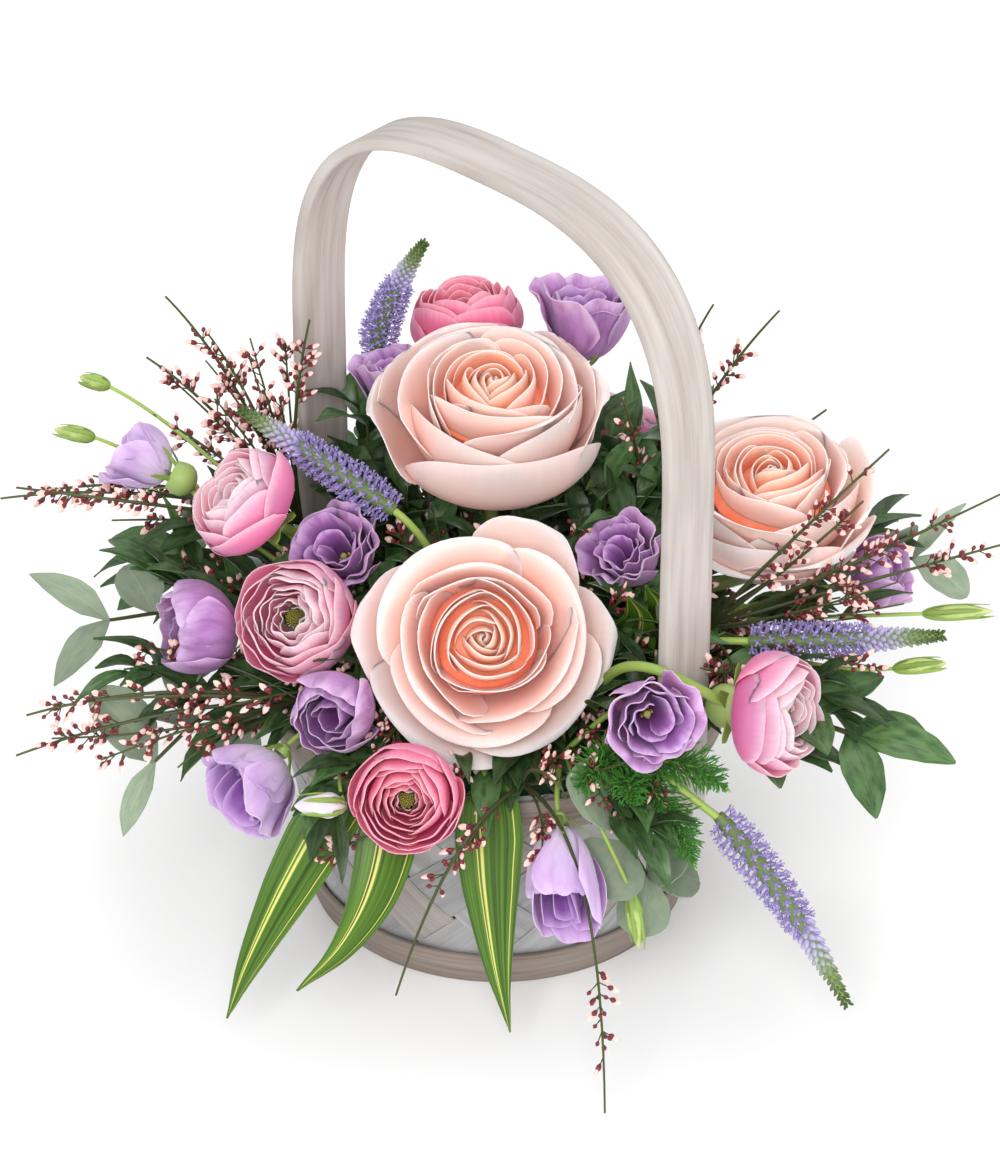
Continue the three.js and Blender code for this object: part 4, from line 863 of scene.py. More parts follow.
# a green bud: a round body of wrapped petals, narrow sepals held against it
def twistedBud(heap, middle, turn, tilt, length, wide, finish):
    place = facing(middle, turn, tilt)
    rings, sides = 12, 12
    a = np.arange(sides) * 2 * math.pi / sides
    z = np.linspace(-0.5, 0.5, rings)[:, None] * length
    lobes = 1 + 0.12 * np.cos(4 * (a + z / length * 2.4))
    radius = wide * shares(lisianthus["budShape"], rings)[:, None] * lobes
    points = np.stack([radius * np.cos(a), radius * np.sin(a), z + 0 * a], axis=2)
    data = placeData((rings, sides), np.linspace(0, 1, rings)[:, None], np.arange(sides) / sides, 0, 0.5)
    heap.add(put(place, points), rodFaces(rings, sides), data, finish)

    def riseOf(chance):
        reach = length * (0.75 + 0.3 * chance)
        return [(0.8, 0.0), (wide * 1.1, 0.1 * reach), (wide * 1.15, 0.6 * reach), (wide * 0.75, reach)]
    sepals(heap, (place[0], put(place, (0, 0, -0.5 * length))), 1.5, 0.2, riseOf)


def lisianthusGreens(name, spec):
    heap = Heap(seedOf(name))
    fork = forkStalk(heap, spec, 20, lisianthus["stemRadius"], 8, 0, 0.3)
    for bloom in spec["blooms"]:
        one = lisianthus["blooms"][bloom]
        axis = axisOf(one["turn"], one["tilt"])
        knob = one.get("knob", lisianthus["knob"])
        cupUnder(heap, placeOf(one, 20), knob, 1.55 * knob, 1)
        sepals(heap, placeOf(one, 20), 1.3, 0.3,
               lambda chance: [(1.6, -3.5), (6, -3), (8.5, 3), (12.5, 6 + 3 * chance)])
        shoot(heap, fork, one["seat"] - 5 * axis, axis, lisianthus["shootRadius"], one.get("via"))
    for middle, turn, tilt, length, via in spec["buds"]:
        axis = axisOf(turn, tilt)
        wide, finish = (5.4, 3) if "pale" in spec else (3.6, 2)
        twistedBud(heap, middle, turn, tilt, length, wide, finish)
        shoot(heap, fork, middle - 0.48 * length * axis, axis, lisianthus["budRadius"], via)
    return heap


# speedwell

speedwell = {
    "florets": 230, "openTo": 0.62,  # the share of the spike that is in bloom
    "corePairs": [(0, 0.3), (0.08, 0.42), (0.5, 0.42), (0.8, 0.3), (0.95, 0.16), (1, 0.05)],
    "stemRadius": 1.7, "floretThick": 0.22, "stamenLength": 2.4,
    "spikes": {
        "upper_left": {"foot": (-26, 60), "line": [(-54, 100, 206), (-50, 103, 232), (-32, 106, 259)],
                       "thick": 8.4},
        "left": {"foot": (-22, 8), "line": [(-44, 2, 188), (-78, 18, 206), (-110, 38, 216)], "thick": 8.8},
        "right": {"foot": (50, -26), "line": [(106, -36, 147), (146, -42, 151), (187, -46, 157)],
                  "thick": 8.6},
        "lower_right": {"foot": (50, -58), "line": [(91, -112, 112), (122, -126, 80), (146, -140, 34)],
                        "thick": 8.8, "bend": [(50, -86, 134), (72, -112, 128)]},
        "back": {"foot": (44, 62), "line": [(84, 92, 142), (108, 122, 140), (126, 152, 122)], "thick": 8.2},
    },
}


# an open floret on the outside of the spike: a short tube, four small petals and two long stamens
def floret(heap, foot, head, out, along):
    heap.tube(np.linspace(foot, head, 3), [0.35, 0.5, 0.75], 5, 0, heap.draw())
    side = np.cross(out, along)
    place = (np.stack([unit(side), unit(np.cross(out, side)), out], axis=1), head)
    start = heap.draw(0, 6)
    for m in range(4):
        rise = [(0.3, -0.3), (0.8, 0.3), (1.5, 0.9), (1.9, heap.draw(1.2, 1.6))]
        petal(heap, place, start + m * math.pi / 2, rise, 0.85, 0.0, heap.draw(), 4, 3, lip=0.3,
              thick=speedwell["floretThick"], claw=0.6)
    for _ in range(2):
        far = head + unit(out + 0.5 * heap.wander()) * speedwell["stamenLength"]
        heap.tube(np.linspace(head, far, 3), [0.1, 0.12, 0.34], 4, 1, 0.9)


def speedwellSpike(name, spec):
    heap = Heap(seedOf(name, 7))
    base, middle, _ = line = np.array(spec["line"], float)
    steps = 60
    curve = bezier(line, steps)
    along, side, up = framesAlong(curve)
    thick = spec["thick"]
    heap.tube(curve, thick * shares(speedwell["corePairs"], steps), 10, 2)
    first = unit(middle - base)
    stalk = stemLine(spec["foot"], base + 3 * first, first, bend=spec.get("bend"))
    heap.tube(stalk, speedwell["stemRadius"], 8, 3)
    for k in range(speedwell["florets"]):
        t = 0.01 + 0.985 * (k / speedwell["florets"]) ** 0.92
        i = min(int(t * (steps - 1)), steps - 2)
        share = t * (steps - 1) - i
        centre = curve[i] * (1 - share) + curve[i + 1] * share
        turn = k * goldenTurn
        out = unit(side[i] * math.cos(turn) + up[i] * math.sin(turn) + along[i] * (0.1 + 0.8 * t))
        reach = thick * (1.0 - 0.62 * t ** 2.2) * heap.draw(0.92, 1.08) * min(1, 0.7 + 2 * t)
        foot = centre + out * reach * 0.3
        if t < speedwell["openTo"] - heap.draw(0, 0.08):
            floret(heap, foot, centre + out * reach * 0.88, out, along[i])
        else:  # a closed bud, greener and smaller towards the tip
            late = float(smooth(speedwell["openTo"], 0.97, t))
            radius = (0.95 - 0.45 * late) * thick / 6.5
            heap.tube(np.linspace(foot, centre + out * reach * 0.95, 5),
                      np.array([0.5, 0.9, 1.0, 0.85, 0.3]) * radius, 6, 1, heap.draw(), late)
    return heap


# leaves

leafShapes = {  # share of the half width at each place from foot to tip
    "striped": [(0, 0.16), (0.1, 0.6), (0.22, 1.0), (0.36, 1.1), (0.52, 0.9), (0.7, 0.55), (0.86, 0.24),
                (0.95, 0.1), (1, 0.01)],
    "narrowGum": [(0, 0.06), (0.08, 0.35), (0.3, 0.95), (0.5, 1), (0.75, 0.72), (0.92, 0.28), (1, 0.01)],
    "roundGum": [(0, 0.1), (0.08, 0.3), (0.3, 0.85), (0.5, 1.0), (0.75, 0.92), (0.92, 0.55), (1, 0.12)],
    "dark": [(0, 0.08), (0.08, 0.25), (0.28, 0.85), (0.5, 1), (0.75, 0.8), (0.93, 0.32), (1, 0.03)],
    "filling": [(0, 0.12), (0.125, 0.5), (0.25, 0.85), (0.375, 1.0), (0.5, 0.96), (0.625, 0.8), (0.75, 0.55),
                (0.875, 0.28), (1, 0.04)],
}
outFacing = (0, -0.4, 1)  # the way a leaf's upper side looks, unless a leaf says otherwise
stalkRadius = {"striped": 2, "gum": 1.6, "dark": 1.6, "fern": 1.5, "broom": 1.5}
twigRadius = {"gum": (1.3, 0.8), "dark": (1.2, 1.2), "fern": (0.9, 0.4), "broom": (1.05, 0.5),
              "shoot": (0.8, 0.4)}  # at its foot and at its tip


# a leaf along a line, of a shape and a full width; fold lifts its edges
def leafBlade(heap, line, shape, width, face, chance, fold, cols=9, thick=0.5, finish=0, ruffle=0.5):
    line = np.asarray(line, float)
    rows = len(line)
    along = np.gradient(line, axis=0)
    along /= np.linalg.norm(along, axis=1)[:, None]
    up = face - along * (along @ face)[:, None]
    up /= np.maximum(np.linalg.norm(up, axis=1), 1e-6)[:, None]
    side = np.cross(along, up)
    s = np.linspace(-1, 1, cols)
    halves = np.maximum(shares(leafShapes[shape], rows) * width / 2, 0.05)[:, None]
    wave = ruffle * np.sin(np.linspace(0, 9, rows) + heap.draw(0, 6))[:, None] * np.sign(s) * np.abs(s) ** 2
    lift = fold * np.abs(s) ** 1.4 * halves + wave
    grid = line[:, None, :] + side[:, None, :] * (s * halves)[:, :, None] + up[:, None, :] * lift[:, :, None]
    data = placeData((rows, cols), np.linspace(0, 1, rows)[:, None], 0.5 + 0.5 * s, 0, chance)
    heap.sheet(grid, data, thick, finish, 1)


def archedLine(foot, tip, arch=0.1, face=outFacing, count=18):
    foot, tip, face = np.array(foot, float), np.array(tip, float), np.array(face, float)
    along = tip - foot
    lift = unit(face - along * face.dot(along) / along.dot(along))
    return bezier([foot, 0.5 * (foot + tip) + lift * 2 * arch * np.linalg.norm(along), tip], count)


striped = {
    "left": {"foot": (-46, -62), "sheath": (-50, -87, 119), "width": 25,
             "leaves": [[(-66, -104, 110), (-86, -118, 80), (-104, -128, 46), (-114, -134, 22)],
                        [(-44, -108, 108), (-50, -124, 84), (-64, -133, 60), (-84, -138, 40)]]},
    "front": {"foot": (-8, -74), "sheath": (-6, -98, 119), "width": 26,
              "leaves": [[(-4, -108, 112), (-3, -119, 82), (0, -130, 48), (5, -136, 16)]],
              "upright": [[(40, -26, 118), (52, -34, 142), (58, -44, 164), (54, -56, 184)],
                          [(46, -20, 118), (60, -22, 140), (66, -30, 160), (62, -40, 178)]]},
}


def stripedLeaves(name, spec):
    heap = Heap(seedOf(name, 3))
    sheath = np.array(spec["sheath"], float)
    out = unit([sheath[0], sheath[1], 0])
    heap.tube(stemLine(spec["foot"], sheath, out, 0.05), stalkRadius["striped"], 8, 1)
    for route in [[sheath] + leaf for leaf in spec["leaves"]] + spec.get("upright", []):
        leafBlade(heap, splineOf(route, 44), "striped", spec["width"], out + [0, 0, 0.5], heap.draw(), 0.25,
                  15, 0.6)
    return heap


# arms: the points that each arm runs through, and its leaves: the place on the arm, the tip, the width
eucalyptus = {
    "left": {"foot": (-56, -14), "fork": (-78, -16, 127), "arms": [
        ([(-104, 2, 130), (-136, 2, 136), (-166, -16, 144)],
         [(1, (-200, -6, 161), 15), (1, (-189, -35, 123), 15), (0.8, (-160, 14, 152), 18),
          (0.62, (-136, -44, 122), 18)]),
        ([(-104, -34, 121), (-128, -46, 112), (-146, -55, 98)],
         [(1, (-172, -50, 131), 22), (1, (-160, -68, 68), 12), (0.72, (-140, -16, 96), 24),
          (0.5, (-112, -54, 88), 22)])]},
    "front": {"foot": (38, -70), "fork": (41, -90, 123), "arms": [
        ([(46, -106, 118), (54, -114, 100), (62, -116, 84)],
         [(0.5, (28, -118, 134), 28), (0.7, (40, -128, 84), 30), (1, (80, -118, 100), 22),
          (1, (84, -112, 78), 20), (1, (60, -124, 58), 20)])]},
    "right": {"foot": (62, 28), "fork": (86, 36, 130), "arms": [
        ([(116, 42, 138), (150, 36, 142), (180, 28, 146)],
         [(0.9, (172, 16, 168), 20), (1, (202, 32, 172), 8), (1, (204, 20, 132), 16),
          (0.6, (140, 74, 148), 22)])]},
}


def eucalyptusArms(name, spec):
    heap = Heap(seedOf(name, 5))
    fork = forkStalk(heap, spec, 0, stalkRadius["gum"], 8, 1)
    for route, leaves in spec["arms"]:
        line = splineOf([fork] + route, 40)
        heap.tube(line, np.linspace(*twigRadius["gum"], 40), 7, 1)
        for place, tip, width in leaves:
            shape, width = ("narrowGum", 0.95 * width) if width < 16 else ("roundGum", 1.15 * width)
            leafBlade(heap, archedLine(line[int(place * 39)], tip), shape, width, outFacing, heap.draw(),
                      0.16, thick=0.55, ruffle=0.4)
    return heap


darkSprigs = {
    "left": {"foot": (-58, 22), "end": (-136, 60, 124), "width": 17, "length": 42},
    "right": {"foot": (64, -36), "end": (150, -78, 128), "width": 18, "length": 44},
    "back": {"foot": (16, 84), "end": (24, 156, 132), "width": 17, "length": 42},
}


def darkLeaves(name, spec):  # four pairs of leaves along a twig and one at its end
    heap = Heap(seedOf(name, 9))
    foot, length = spec["foot"], spec["length"]
    start = np.array([foot[0] * 1.1, foot[1] * 1.1, 128.0])
    end = np.array(spec["end"], float)
    out = unit(end - start)
    side = unit(np.cross(out, (0, 0, 1)))
    heap.tube(stemLine(foot, start, unit([foot[0], foot[1], 60])), stalkRadius["dark"], 7, 1)
    curve = bezier([start, 0.5 * (start + end) + [0, 0, 4], end], 40)
    heap.tube(curve, np.linspace(*twigRadius["dark"], 40), 7, 1)
    blades = [(end, end + out * length)]
    for pair in range(4):
        root = curve[int((0.25 + 0.7 * pair / 3) * 39)]
        reach = out * length * 0.6 + [0, 0, (-0.35 if pair % 2 else 0.2) * length]
        blades += [(root, root + reach + side * hand * length * 0.7) for hand in (-1, 1)]
    for root, tip in blades:
        leafBlade(heap, archedLine(root, tip), "dark", spec["width"], outFacing, heap.draw(), 0.22)
    return heap


fern = {
    "seed": 77, "foot": (45, -69), "fork": (54, -86, 123), "needles": 150, "twigs": 3, "flatness": 0.75,
    "fronds": [([(66, -105, 117), (75, -118, 109), (82, -127, 95)], 26),  # route, full width
               ([(54, -98, 126), (54, -112, 128), (56, -124, 124)], 26),
               ([(46, -100, 132), (38, -112, 134), (30, -121, 128)], 26),
               ([(66, -98, 130), (82, -106, 132), (96, -112, 124)], 28)],
}


def fernFronds():
    heap = Heap(fern["seed"])
    fork = np.array(fern["fork"], float)
    heap.tube(stemLine(fern["foot"], fork, unit([0, -1, 0.2])), stalkRadius["fern"], 7, 1)
    for route, width in fern["fronds"]:
        line = splineOf([fork] + route, 50)
        along, side, up = framesAlong(line)
        heap.tube(line, np.linspace(*twigRadius["fern"], 50), 6, 1)
        for k in range(fern["needles"]):
            t = 0.06 + 0.92 * k / (fern["needles"] - 1)
            i = int(t * 49)
            reach = (width / 2) * math.sin(math.pi * min(1, 0.14 + 0.86 * t)) * heap.draw(0.8, 1.1)
            turn = k * goldenTurn
            out = side[i] * math.cos(turn) + fern["flatness"] * up[i] * math.sin(turn)
            out = unit(out + 0.7 * along[i])
            half = line[i] + out * reach * 0.5 + along[i] * 0.08 * reach
            needle = bezier([line[i], half, line[i] + out * reach], 5)
            heap.tube(needle, [0.32, 0.42, 0.42, 0.35, 0.1], 5, 0, heap.draw())
            for at in needle[1:1 + fern["twigs"]]:
                far = at + unit(out + 1.4 * heap.wander()) * reach * 0.34
                heap.tube(np.linspace(at, far, 3), [0.28, 0.34, 0.08], 4, 0, heap.draw())
    return heap


# broom: twigs and shoots are given by the point they bend at and their tip
brooms = {
    "left": {"foot": (-54, 44), "fork": (-86, 50, 150), "seed": 11, "twigs": [
        ((-150, 52, 172), (-216, 42, 168)), ((-140, 62, 172), (-206, 58, 160)),
        ((-160, -14, 204), (-206, 20, 188)), ((-112, 64, 220), (-142, 62, 258)),
        ((-116, 62, 200), (-151, 58, 230)), ((-104, 56, 210), (-124, 60, 240)),
        ((-92, 44, 200), (-80, 46, 256))],
        "shoots": [((-98, 60, 190), (-108, 66, 228)), ((-100, 46, 186), (-122, 50, 214)),
                   ((-90, 60, 186), (-92, 74, 226)), ((-120, 60, 180), (-150, 66, 196)),
                   ((-130, 50, 160), (-176, 48, 176)), ((-126, 54, 150), (-168, 40, 158)),
                   ((-102, 56, 196), (-126, 62, 226)), ((-96, 50, 200), (-106, 54, 242)),
                   ((-110, 60, 186), (-142, 64, 216)), ((-90, 50, 190), (-94, 48, 216))]},
    "lower_left": {"foot": (-66, -36), "fork": (-84, -50, 126), "seed": 23, "twigs": [
        ((-140, -70, 140), (-203, -70, 112)), ((-140, -66, 150), (-198, -66, 130)),
        ((-120, -68, 144), (-168, -72, 142))],
        "shoots": [((-120, -76, 136), (-166, -84, 120)), ((-110, -40, 140), (-150, -30, 140)),
                   ((-128, -72, 124), (-188, -66, 118)), ((-110, -66, 130), (-134, -84, 116))]},
    "right": {"foot": (66, -10), "fork": (88, -24, 146), "seed": 37, "twigs": [
        ((112, -40, 190), (162, -26, 237)), ((124, -30, 180), (152, -30, 214)),
        ((154, -38, 190), (213, 0, 198)), ((150, -24, 168), (213, -12, 180))],
        "shoots": [((120, -40, 160), (168, -34, 176)), ((120, -30, 150), (172, -24, 158)),
                   ((124, -50, 150), (160, -60, 150)), ((110, -60, 140), (84, -74, 160)),
                   ((130, -30, 170), (186, -6, 186))]},
    "front": {"foot": (8, -80), "fork": (10, -100, 119), "seed": 41, "twigs": [
        ((42, -152, 138), (44, -188, 16)), ((-20, -152, 136), (-43, -126, 28)),
        ((12, -120, 150), (26, -134, 142))], "sparse": 0.45,
        "shoots": [((30, -112, 130), (58, -118, 146)), ((0, -116, 124), (-12, -130, 112)),
                   ((20, -116, 122), (18, -134, 110)), ((-30, -110, 118), (-74, -122, 96))]},
    "back": {"foot": (58, 50), "fork": (66, 64, 140), "seed": 53, "twigs": [
        ((84, 70, 200), (121, 72, 245)), ((70, 66, 210), (92, 62, 254)),
        ((110, 80, 160), (146, 108, 172)), ((60, 40, 200), (52, 16, 236))], "shoots": []},
}
broomBuds = {"open": 0.62, "twigGap": 14, "stalk": (1.2, 5.4), "length": (4.0, 6.8), "small": 2.4}


# side shoots along a line, each a cluster of buds in red calyces that keep out of the blooms' balls
def budsAlong(heap, line, clusters, each, low, high, balls=()):
    along, side, up = framesAlong(line)
    for _ in range(clusters):
        place = heap.draw(low, high)
        for _ in range(each):
            i = int(np.clip(place + heap.draw(-0.045, 0.045), 0, 0.99) * (len(line) - 1))
            turn = heap.draw(0, 2 * math.pi)
            out = unit(side[i] * math.cos(turn) + up[i] * math.sin(turn) + along[i] * heap.draw(0.5, 1.3))
            far = line[i] + out * heap.draw(*broomBuds["stalk"])
            if balls and not isFree((far + out * 3)[None], balls):
                continue
            heap.tube([line[i], far], [0.32, 0.25], 5)
            if heap.draw() < broomBuds["open"]:
                # a closed pea flower: dark red calyx, pinkish white standard folded round the keel
                bud = np.linspace(far, far + out * heap.draw(*broomBuds["length"]), 7)
                heap.tube(bud[:4], [0.4, 1.0, 1.15, 0.9], 6, 2, heap.draw())
                heap.tube(bud[2:], np.array([0.8, 1.1, 1.15, 0.85, 0.25]) * heap.draw(0.85, 1.25), 6, 1,
                          heap.draw(), flatness=0.65)
            else:
                heap.tube(np.linspace(far, far + out * broomBuds["small"], 4), [0.3, 0.9, 0.9, 0.2], 6, 2,
                          heap.draw())


def broom(spec):
    heap = Heap(spec["seed"])
    fork = forkStalk(heap, spec, 20, stalkRadius["broom"], 7, 0)
    for bend, tip in spec["twigs"]:
        line = bezier([fork, bend, tip], 40)
        heap.tube(line, np.linspace(*twigRadius["broom"], 40), 6, 0, heap.draw())
        length = np.linalg.norm(np.diff(line, axis=0), axis=1).sum()
        budsAlong(heap, line, int(spec.get("sparse", 1) * length / broomBuds["twigGap"]), 4, 0.3, 0.9)
    for bend, tip in spec["shoots"]:
        line = bezier([fork, bend, tip], 30)
        heap.tube(line, np.linspace(*twigRadius["shoot"], 30), 6, 0, heap.draw())
        budsAlong(heap, line, 5, 5, 0.45, 1.0)
    return heap


# the shaded leaves and short twigs between the blooms

growth = {
    "seed": 9, "lowLeaves": 430, "leafLength": (24, 44), "leafWidth": (8, 15), "darkShare": 0.3,
    "stalks": 52, "stalkTop": 186, "stalkLeaves": 10, "screenLeaves": 16, "screenSize": 1.15,
    "budTwigs": 120, "budTwigTop": 196, "leavesReach": 88, "stalksReach": 80, "budTwigsReach": 84,
    "stalkRadius": 0.9, "budTwigRadius": 0.7, "armRadius": 0.8,
    # leafy stalks that screen the gaps between the blooms: the top of each
    "screens": [(40, 62, 204), (50, 50, 196), (60, 62, 192), (70, 46, 184), (48, 36, 186), (62, 30, 176),
                (30, 70, 208), (74, 64, 182), (-58, 62, 204), (-48, 50, 196), (-66, 48, 190), (-50, 34, 180),
                (-62, 74, 206), (54, 14, 172), (-40, 30, 182), (76, 20, 166), (56, -16, 160),
                (72, -40, 152)],
    # low side arms with leaves and buds: the tip of each
    "arms": [(-150, 20, 142), (-142, -10, 152), (-138, -50, 122), (-128, 42, 160), (-112, -62, 114),
             (-152, -32, 128), (-130, 20, 128), (-120, 64, 138), (152, -20, 152), (162, 40, 152),
             (142, -62, 134), (150, 62, 150), (166, 4, 168), (134, -88, 122), (120, 70, 140),
             (-62, 130, 142), (0, 150, 136), (62, 138, 142), (100, 112, 150), (-100, 100, 150),
             (-24, -126, 126), (58, -124, 116), (-66, -108, 116), (110, -70, 128), (-30, 140, 160)],
}


def bloomBalls():  # a ball round each bloom, for the filling leaves to keep out of
    balls = []
    for group, rise, reach in ((rose, 22, 47), (ranunculus, 14, 24)):
        for one in group["blooms"].values():
            balls.append((one["seat"] + rise * axisOf(one["turn"], one["tilt"]), reach * one["size"]))
    for one in lisianthus["blooms"].values():
        middle = one["seat"] + 0.5 * one["length"] * axisOf(one["turn"], one["tilt"])
        balls.append((middle, 0.5 * max(one["length"], 2 * one["belly"], 2 * one["lip"])))
    return balls


def isFree(points, balls):  # clear of the blooms and of the handle's legs
    if any((np.linalg.norm(points - middle, axis=1) < reach).any() for middle, reach in balls):
        return False
    a = math.radians(handle["turn"])
    u = np.abs(points[:, 0] * math.cos(a) + points[:, 1] * math.sin(a))
    w = np.abs(points[:, 1] * math.cos(a) - points[:, 0] * math.sin(a))
    legWidth = handle["width"] / 2 + 4
    return not ((np.abs(u - (handle["reach"] - 2.6)) < 6) & (w < legWidth)).any()


def spread(count, reach, more):  # roots spread evenly over the foam: radius and turn of each
    return [(reach * math.sqrt((k + 0.5) / count), k * goldenTurn + more) for k in range(count)]


def underGrowth():  # leaves and bud twigs, all rooted in the foam
    leaves, twigs = Heap(growth["seed"]), Heap()
    twigs.rng = leaves.rng
    draw, wander = leaves.draw, leaves.wander
    balls = bloomBalls()

    def oneLeaf(root, out, length, width):
        face = unit(np.array([out[0] * 0.2, out[1] * 0.2, 1.0]) + 0.5 * wander())
        line = archedLine(root, root + out * length, draw(0.05, 0.17), face, 9)
        if isFree(line, balls):
            leafBlade(leaves, line, "filling", width, face, draw(), 0.3, 5, 0.45,
                      int(draw() < growth["darkShare"]), 0.4)

    def oneTwig(root, middle, top, thick):  # cut back to where it would reach a bloom
        line = bezier([root, middle, top], 24)
        while len(line) > 8 and not isFree(line, balls):
            line = line[:-1]
        if len(line) > 8:
            twigs.tube(line, np.linspace(thick, 0.55 * thick, len(line)), 6, 0, draw())
            return line

    for reach, turn in spread(growth["lowLeaves"], growth["leavesReach"], 0):
        turn += draw(0, 0.3)
        lean = math.radians(min(100, 100 * reach / 90 + draw(-10.4, 15.6)))
        out = polar(math.sin(lean), turn + draw(-0.45, 0.45), math.cos(lean))
        root = polar(reach, turn, draw(116, 120))
        oneLeaf(root, out, draw(*growth["leafLength"]), draw(*growth["leafWidth"]))

    stalks = []
    for reach, turn in spread(growth["stalks"], growth["stalksReach"], 1.0):
        root = polar(reach, turn, 112)
        rise = growth["stalkTop"] - 0.42 * reach - draw(0, 22)
        stalks.append((root, root * [1.35, 1.35, 0] + [0, 0, rise], growth["stalkLeaves"], 1.0))
    for top in growth["screens"]:
        stalks.append((np.array([top[0] * 0.9, top[1] * 0.9, 112.0]), top, growth["screenLeaves"],
                       growth["screenSize"]))
    for root, top, count, size in stalks:
        line = oneTwig(root, root + [0, 0, 30], top, growth["stalkRadius"])
        if line is None:
            continue
        turn = draw(0, 6)
        for m in range(count):
            at = line[3 + int((len(line) - 4) * (m + draw()) / count)]
            out = unit(polar(1, turn + m * goldenTurn, draw(0.4, 1.0)))
            oneLeaf(at, out, size * draw(18, 36), size * draw(7, 14))

    for reach, turn in spread(growth["budTwigs"], growth["budTwigsReach"], 2.2):
        root = polar(reach, turn, 114)
        wide = draw(1.35, 1.8)
        top = root * [wide, wide, 0] + [0, 0, growth["budTwigTop"] - 0.6 * reach - draw(0, 30)]
        line = oneTwig(root, root + [0, 0, 26], top, growth["budTwigRadius"])
        if line is not None:
            budsAlong(twigs, line, 3, 5, 0.4, 1.0, balls)

    for tip, number in [(tip, number) for tip in growth["arms"] for number in range(3)]:
        far = tip + 16 * wander() * [1, 1, 0.7]
        root = np.array([far[0] * 0.52, far[1] * 0.52, 114.0])
        middle = np.array([far[0] * 0.72, far[1] * 0.72, 0.5 * (far[2] + 132)])
        line = oneTwig(root, middle, far, growth["armRadius"])
        if line is None:
            continue
        if number:
            budsAlong(twigs, line, 4, 4, 0.45, 0.95, balls)
        for _ in range(3 if number else 9):
            i = int(len(line) * draw(0.35, 0.99))
            out = unit(unit(line[min(i + 1, len(line) - 1)] - line[i - 1]) + 1.3 * wander())
            oneLeaf(line[i], out, draw(20, 36), draw(7, 13))
    return leaves, twigs


print("finishes")
# garden rose petal, thick and water-filled with a velvet skin: cream at the lip, coral in the folds
roseBlush = petalMaterial(
    "blush rose petal",
    [(0.0, "#EE8E80"), (0.3, "#F5AC9F"), (0.6, "#FAC6BB"), (0.85, "#FCD8D0"), (1.0, "#FDE8E3")],
    [(0.0, "#E2401F"), (0.6, "#F56B43"), (0.8, "#FE9D79"), (0.92, "#FFC6AB"), (1.0, "#FFE4D5")],
    "#F8C4B6", 30, roughness=0.6, glow=0.8)
# ranunculus petal, paper-thin: hot pink where petals crowd, nearly white at the torn lips
pinkRanunculus = petalMaterial(
    "pink ranunculus petal", [(0.0, "#D62A6C"), (0.4, "#EE548E"), (0.8, "#F47EA6"), (1.0, "#F9B2C6")],
    [(0.0, "#EC4482"), (0.5, "#FF82AA"), (0.8, "#FFB2C8"), (1.0, "#FFEAEC")], "#F0689A", 22, glow=0.85)
hotRanunculus = petalMaterial(
    "deep pink ranunculus petal", [(0.0, "#C42A60"), (0.4, "#E2457A"), (0.8, "#F16C94"), (1.0, "#F99CB6")],
    [(0.0, "#AC1A4C"), (0.5, "#E04274"), (0.85, "#F67092"), (1.0, "#FDACBC")], "#D83A74", 22, glow=0.6)
# lisianthus petal, silk-thin: pale at the lip, violet in the throat, with dark streaks down its length that
# are painted shade of soft folds
lilacBell = petalMaterial(
    "lilac bell petal", [(0.0, "#CDBFD2"), (0.25, "#A674AC"), (0.7, "#B581BA"), (1.0, "#D8B4DC")],
    [(0.0, "#521F60"), (0.5, "#793884"), (0.8, "#A369B0"), (1.0, "#D4AEDC")], "#7D4388", 9, 0.6, glow=0.5)
# pale bell: its violet streaks down its length are painted fold shade as well
paleBell = petalMaterial(
    "pale lilac bell petal", [(0.0, "#ECE8EC"), (0.3, "#D8C0DE"), (0.7, "#C6A2D4"), (1.0, "#D6BAE0")],
    [(0.0, "#46205E"), (0.5, "#653686"), (0.8, "#84509E"), (1.0, "#C49ED6")], "#A276B8", 9, 0.45, glow=0.45)
paleBudStops = [(0.0, "#C9CDB4"), (0.3, "#D9CFD6"), (1.0, "#E4D8E6")]
paleBud = petalMaterial("pale closed bud", paleBudStops, paleBudStops, "#BBA3C4", 8, 0.5)
# small solid parts of a flower, too small for veins: matt, with a grit that breaks their colour up
knobGreen = grainyMaterial("green flower knob", "#A9A24A", "#6D6B25", 0.6, 0.6)
stamenDark = grainyMaterial("dark stamens", "#5B4A2A", "#2B2118", 0.5, 0.7)
pollenYellow = grainyMaterial("yellow pollen", "#D9B94A", "#B4902B", 0.5)
stigmaGreen = grainyMaterial("green stigma", "#A8B860", "#7C8E3C", 0.6)
floretLavender = grainyMaterial("lavender floret", "#AC9FD2", "#7361AA", 0.8, 0.6, 0.2)
broomPink = grainyMaterial("broom flower", "#F6DFD6", "#E0A69C", 1.2, 0.6, 0.1)
broomRed = grainyMaterial("broom calyx", "#84242B", "#511219", 1.0, 0.55, 0.1)
# stems and stalks, fresh cut: ribbed green skin, the rose's with a brown flush
roseStemGreen = stemMaterial("rose stem", "#4F6B32", "#6E8A42", "#7A5A3C")
freshStemGreen = stemMaterial("fresh stem", "#6E8C3A", "#9CB45A")
budGreen = stemMaterial("closed bud", "#8FA84E", "#C6D08C", "#7A9440")
spikeGreen = stemMaterial("spike core", "#5E7440", "#7C9450")
fernGreen = stemMaterial("soft needle", "#2E6422", "#4E8A35")
twigGreen = stemMaterial("broom twig", "#2C3517", "#46521F", "#3A2419")
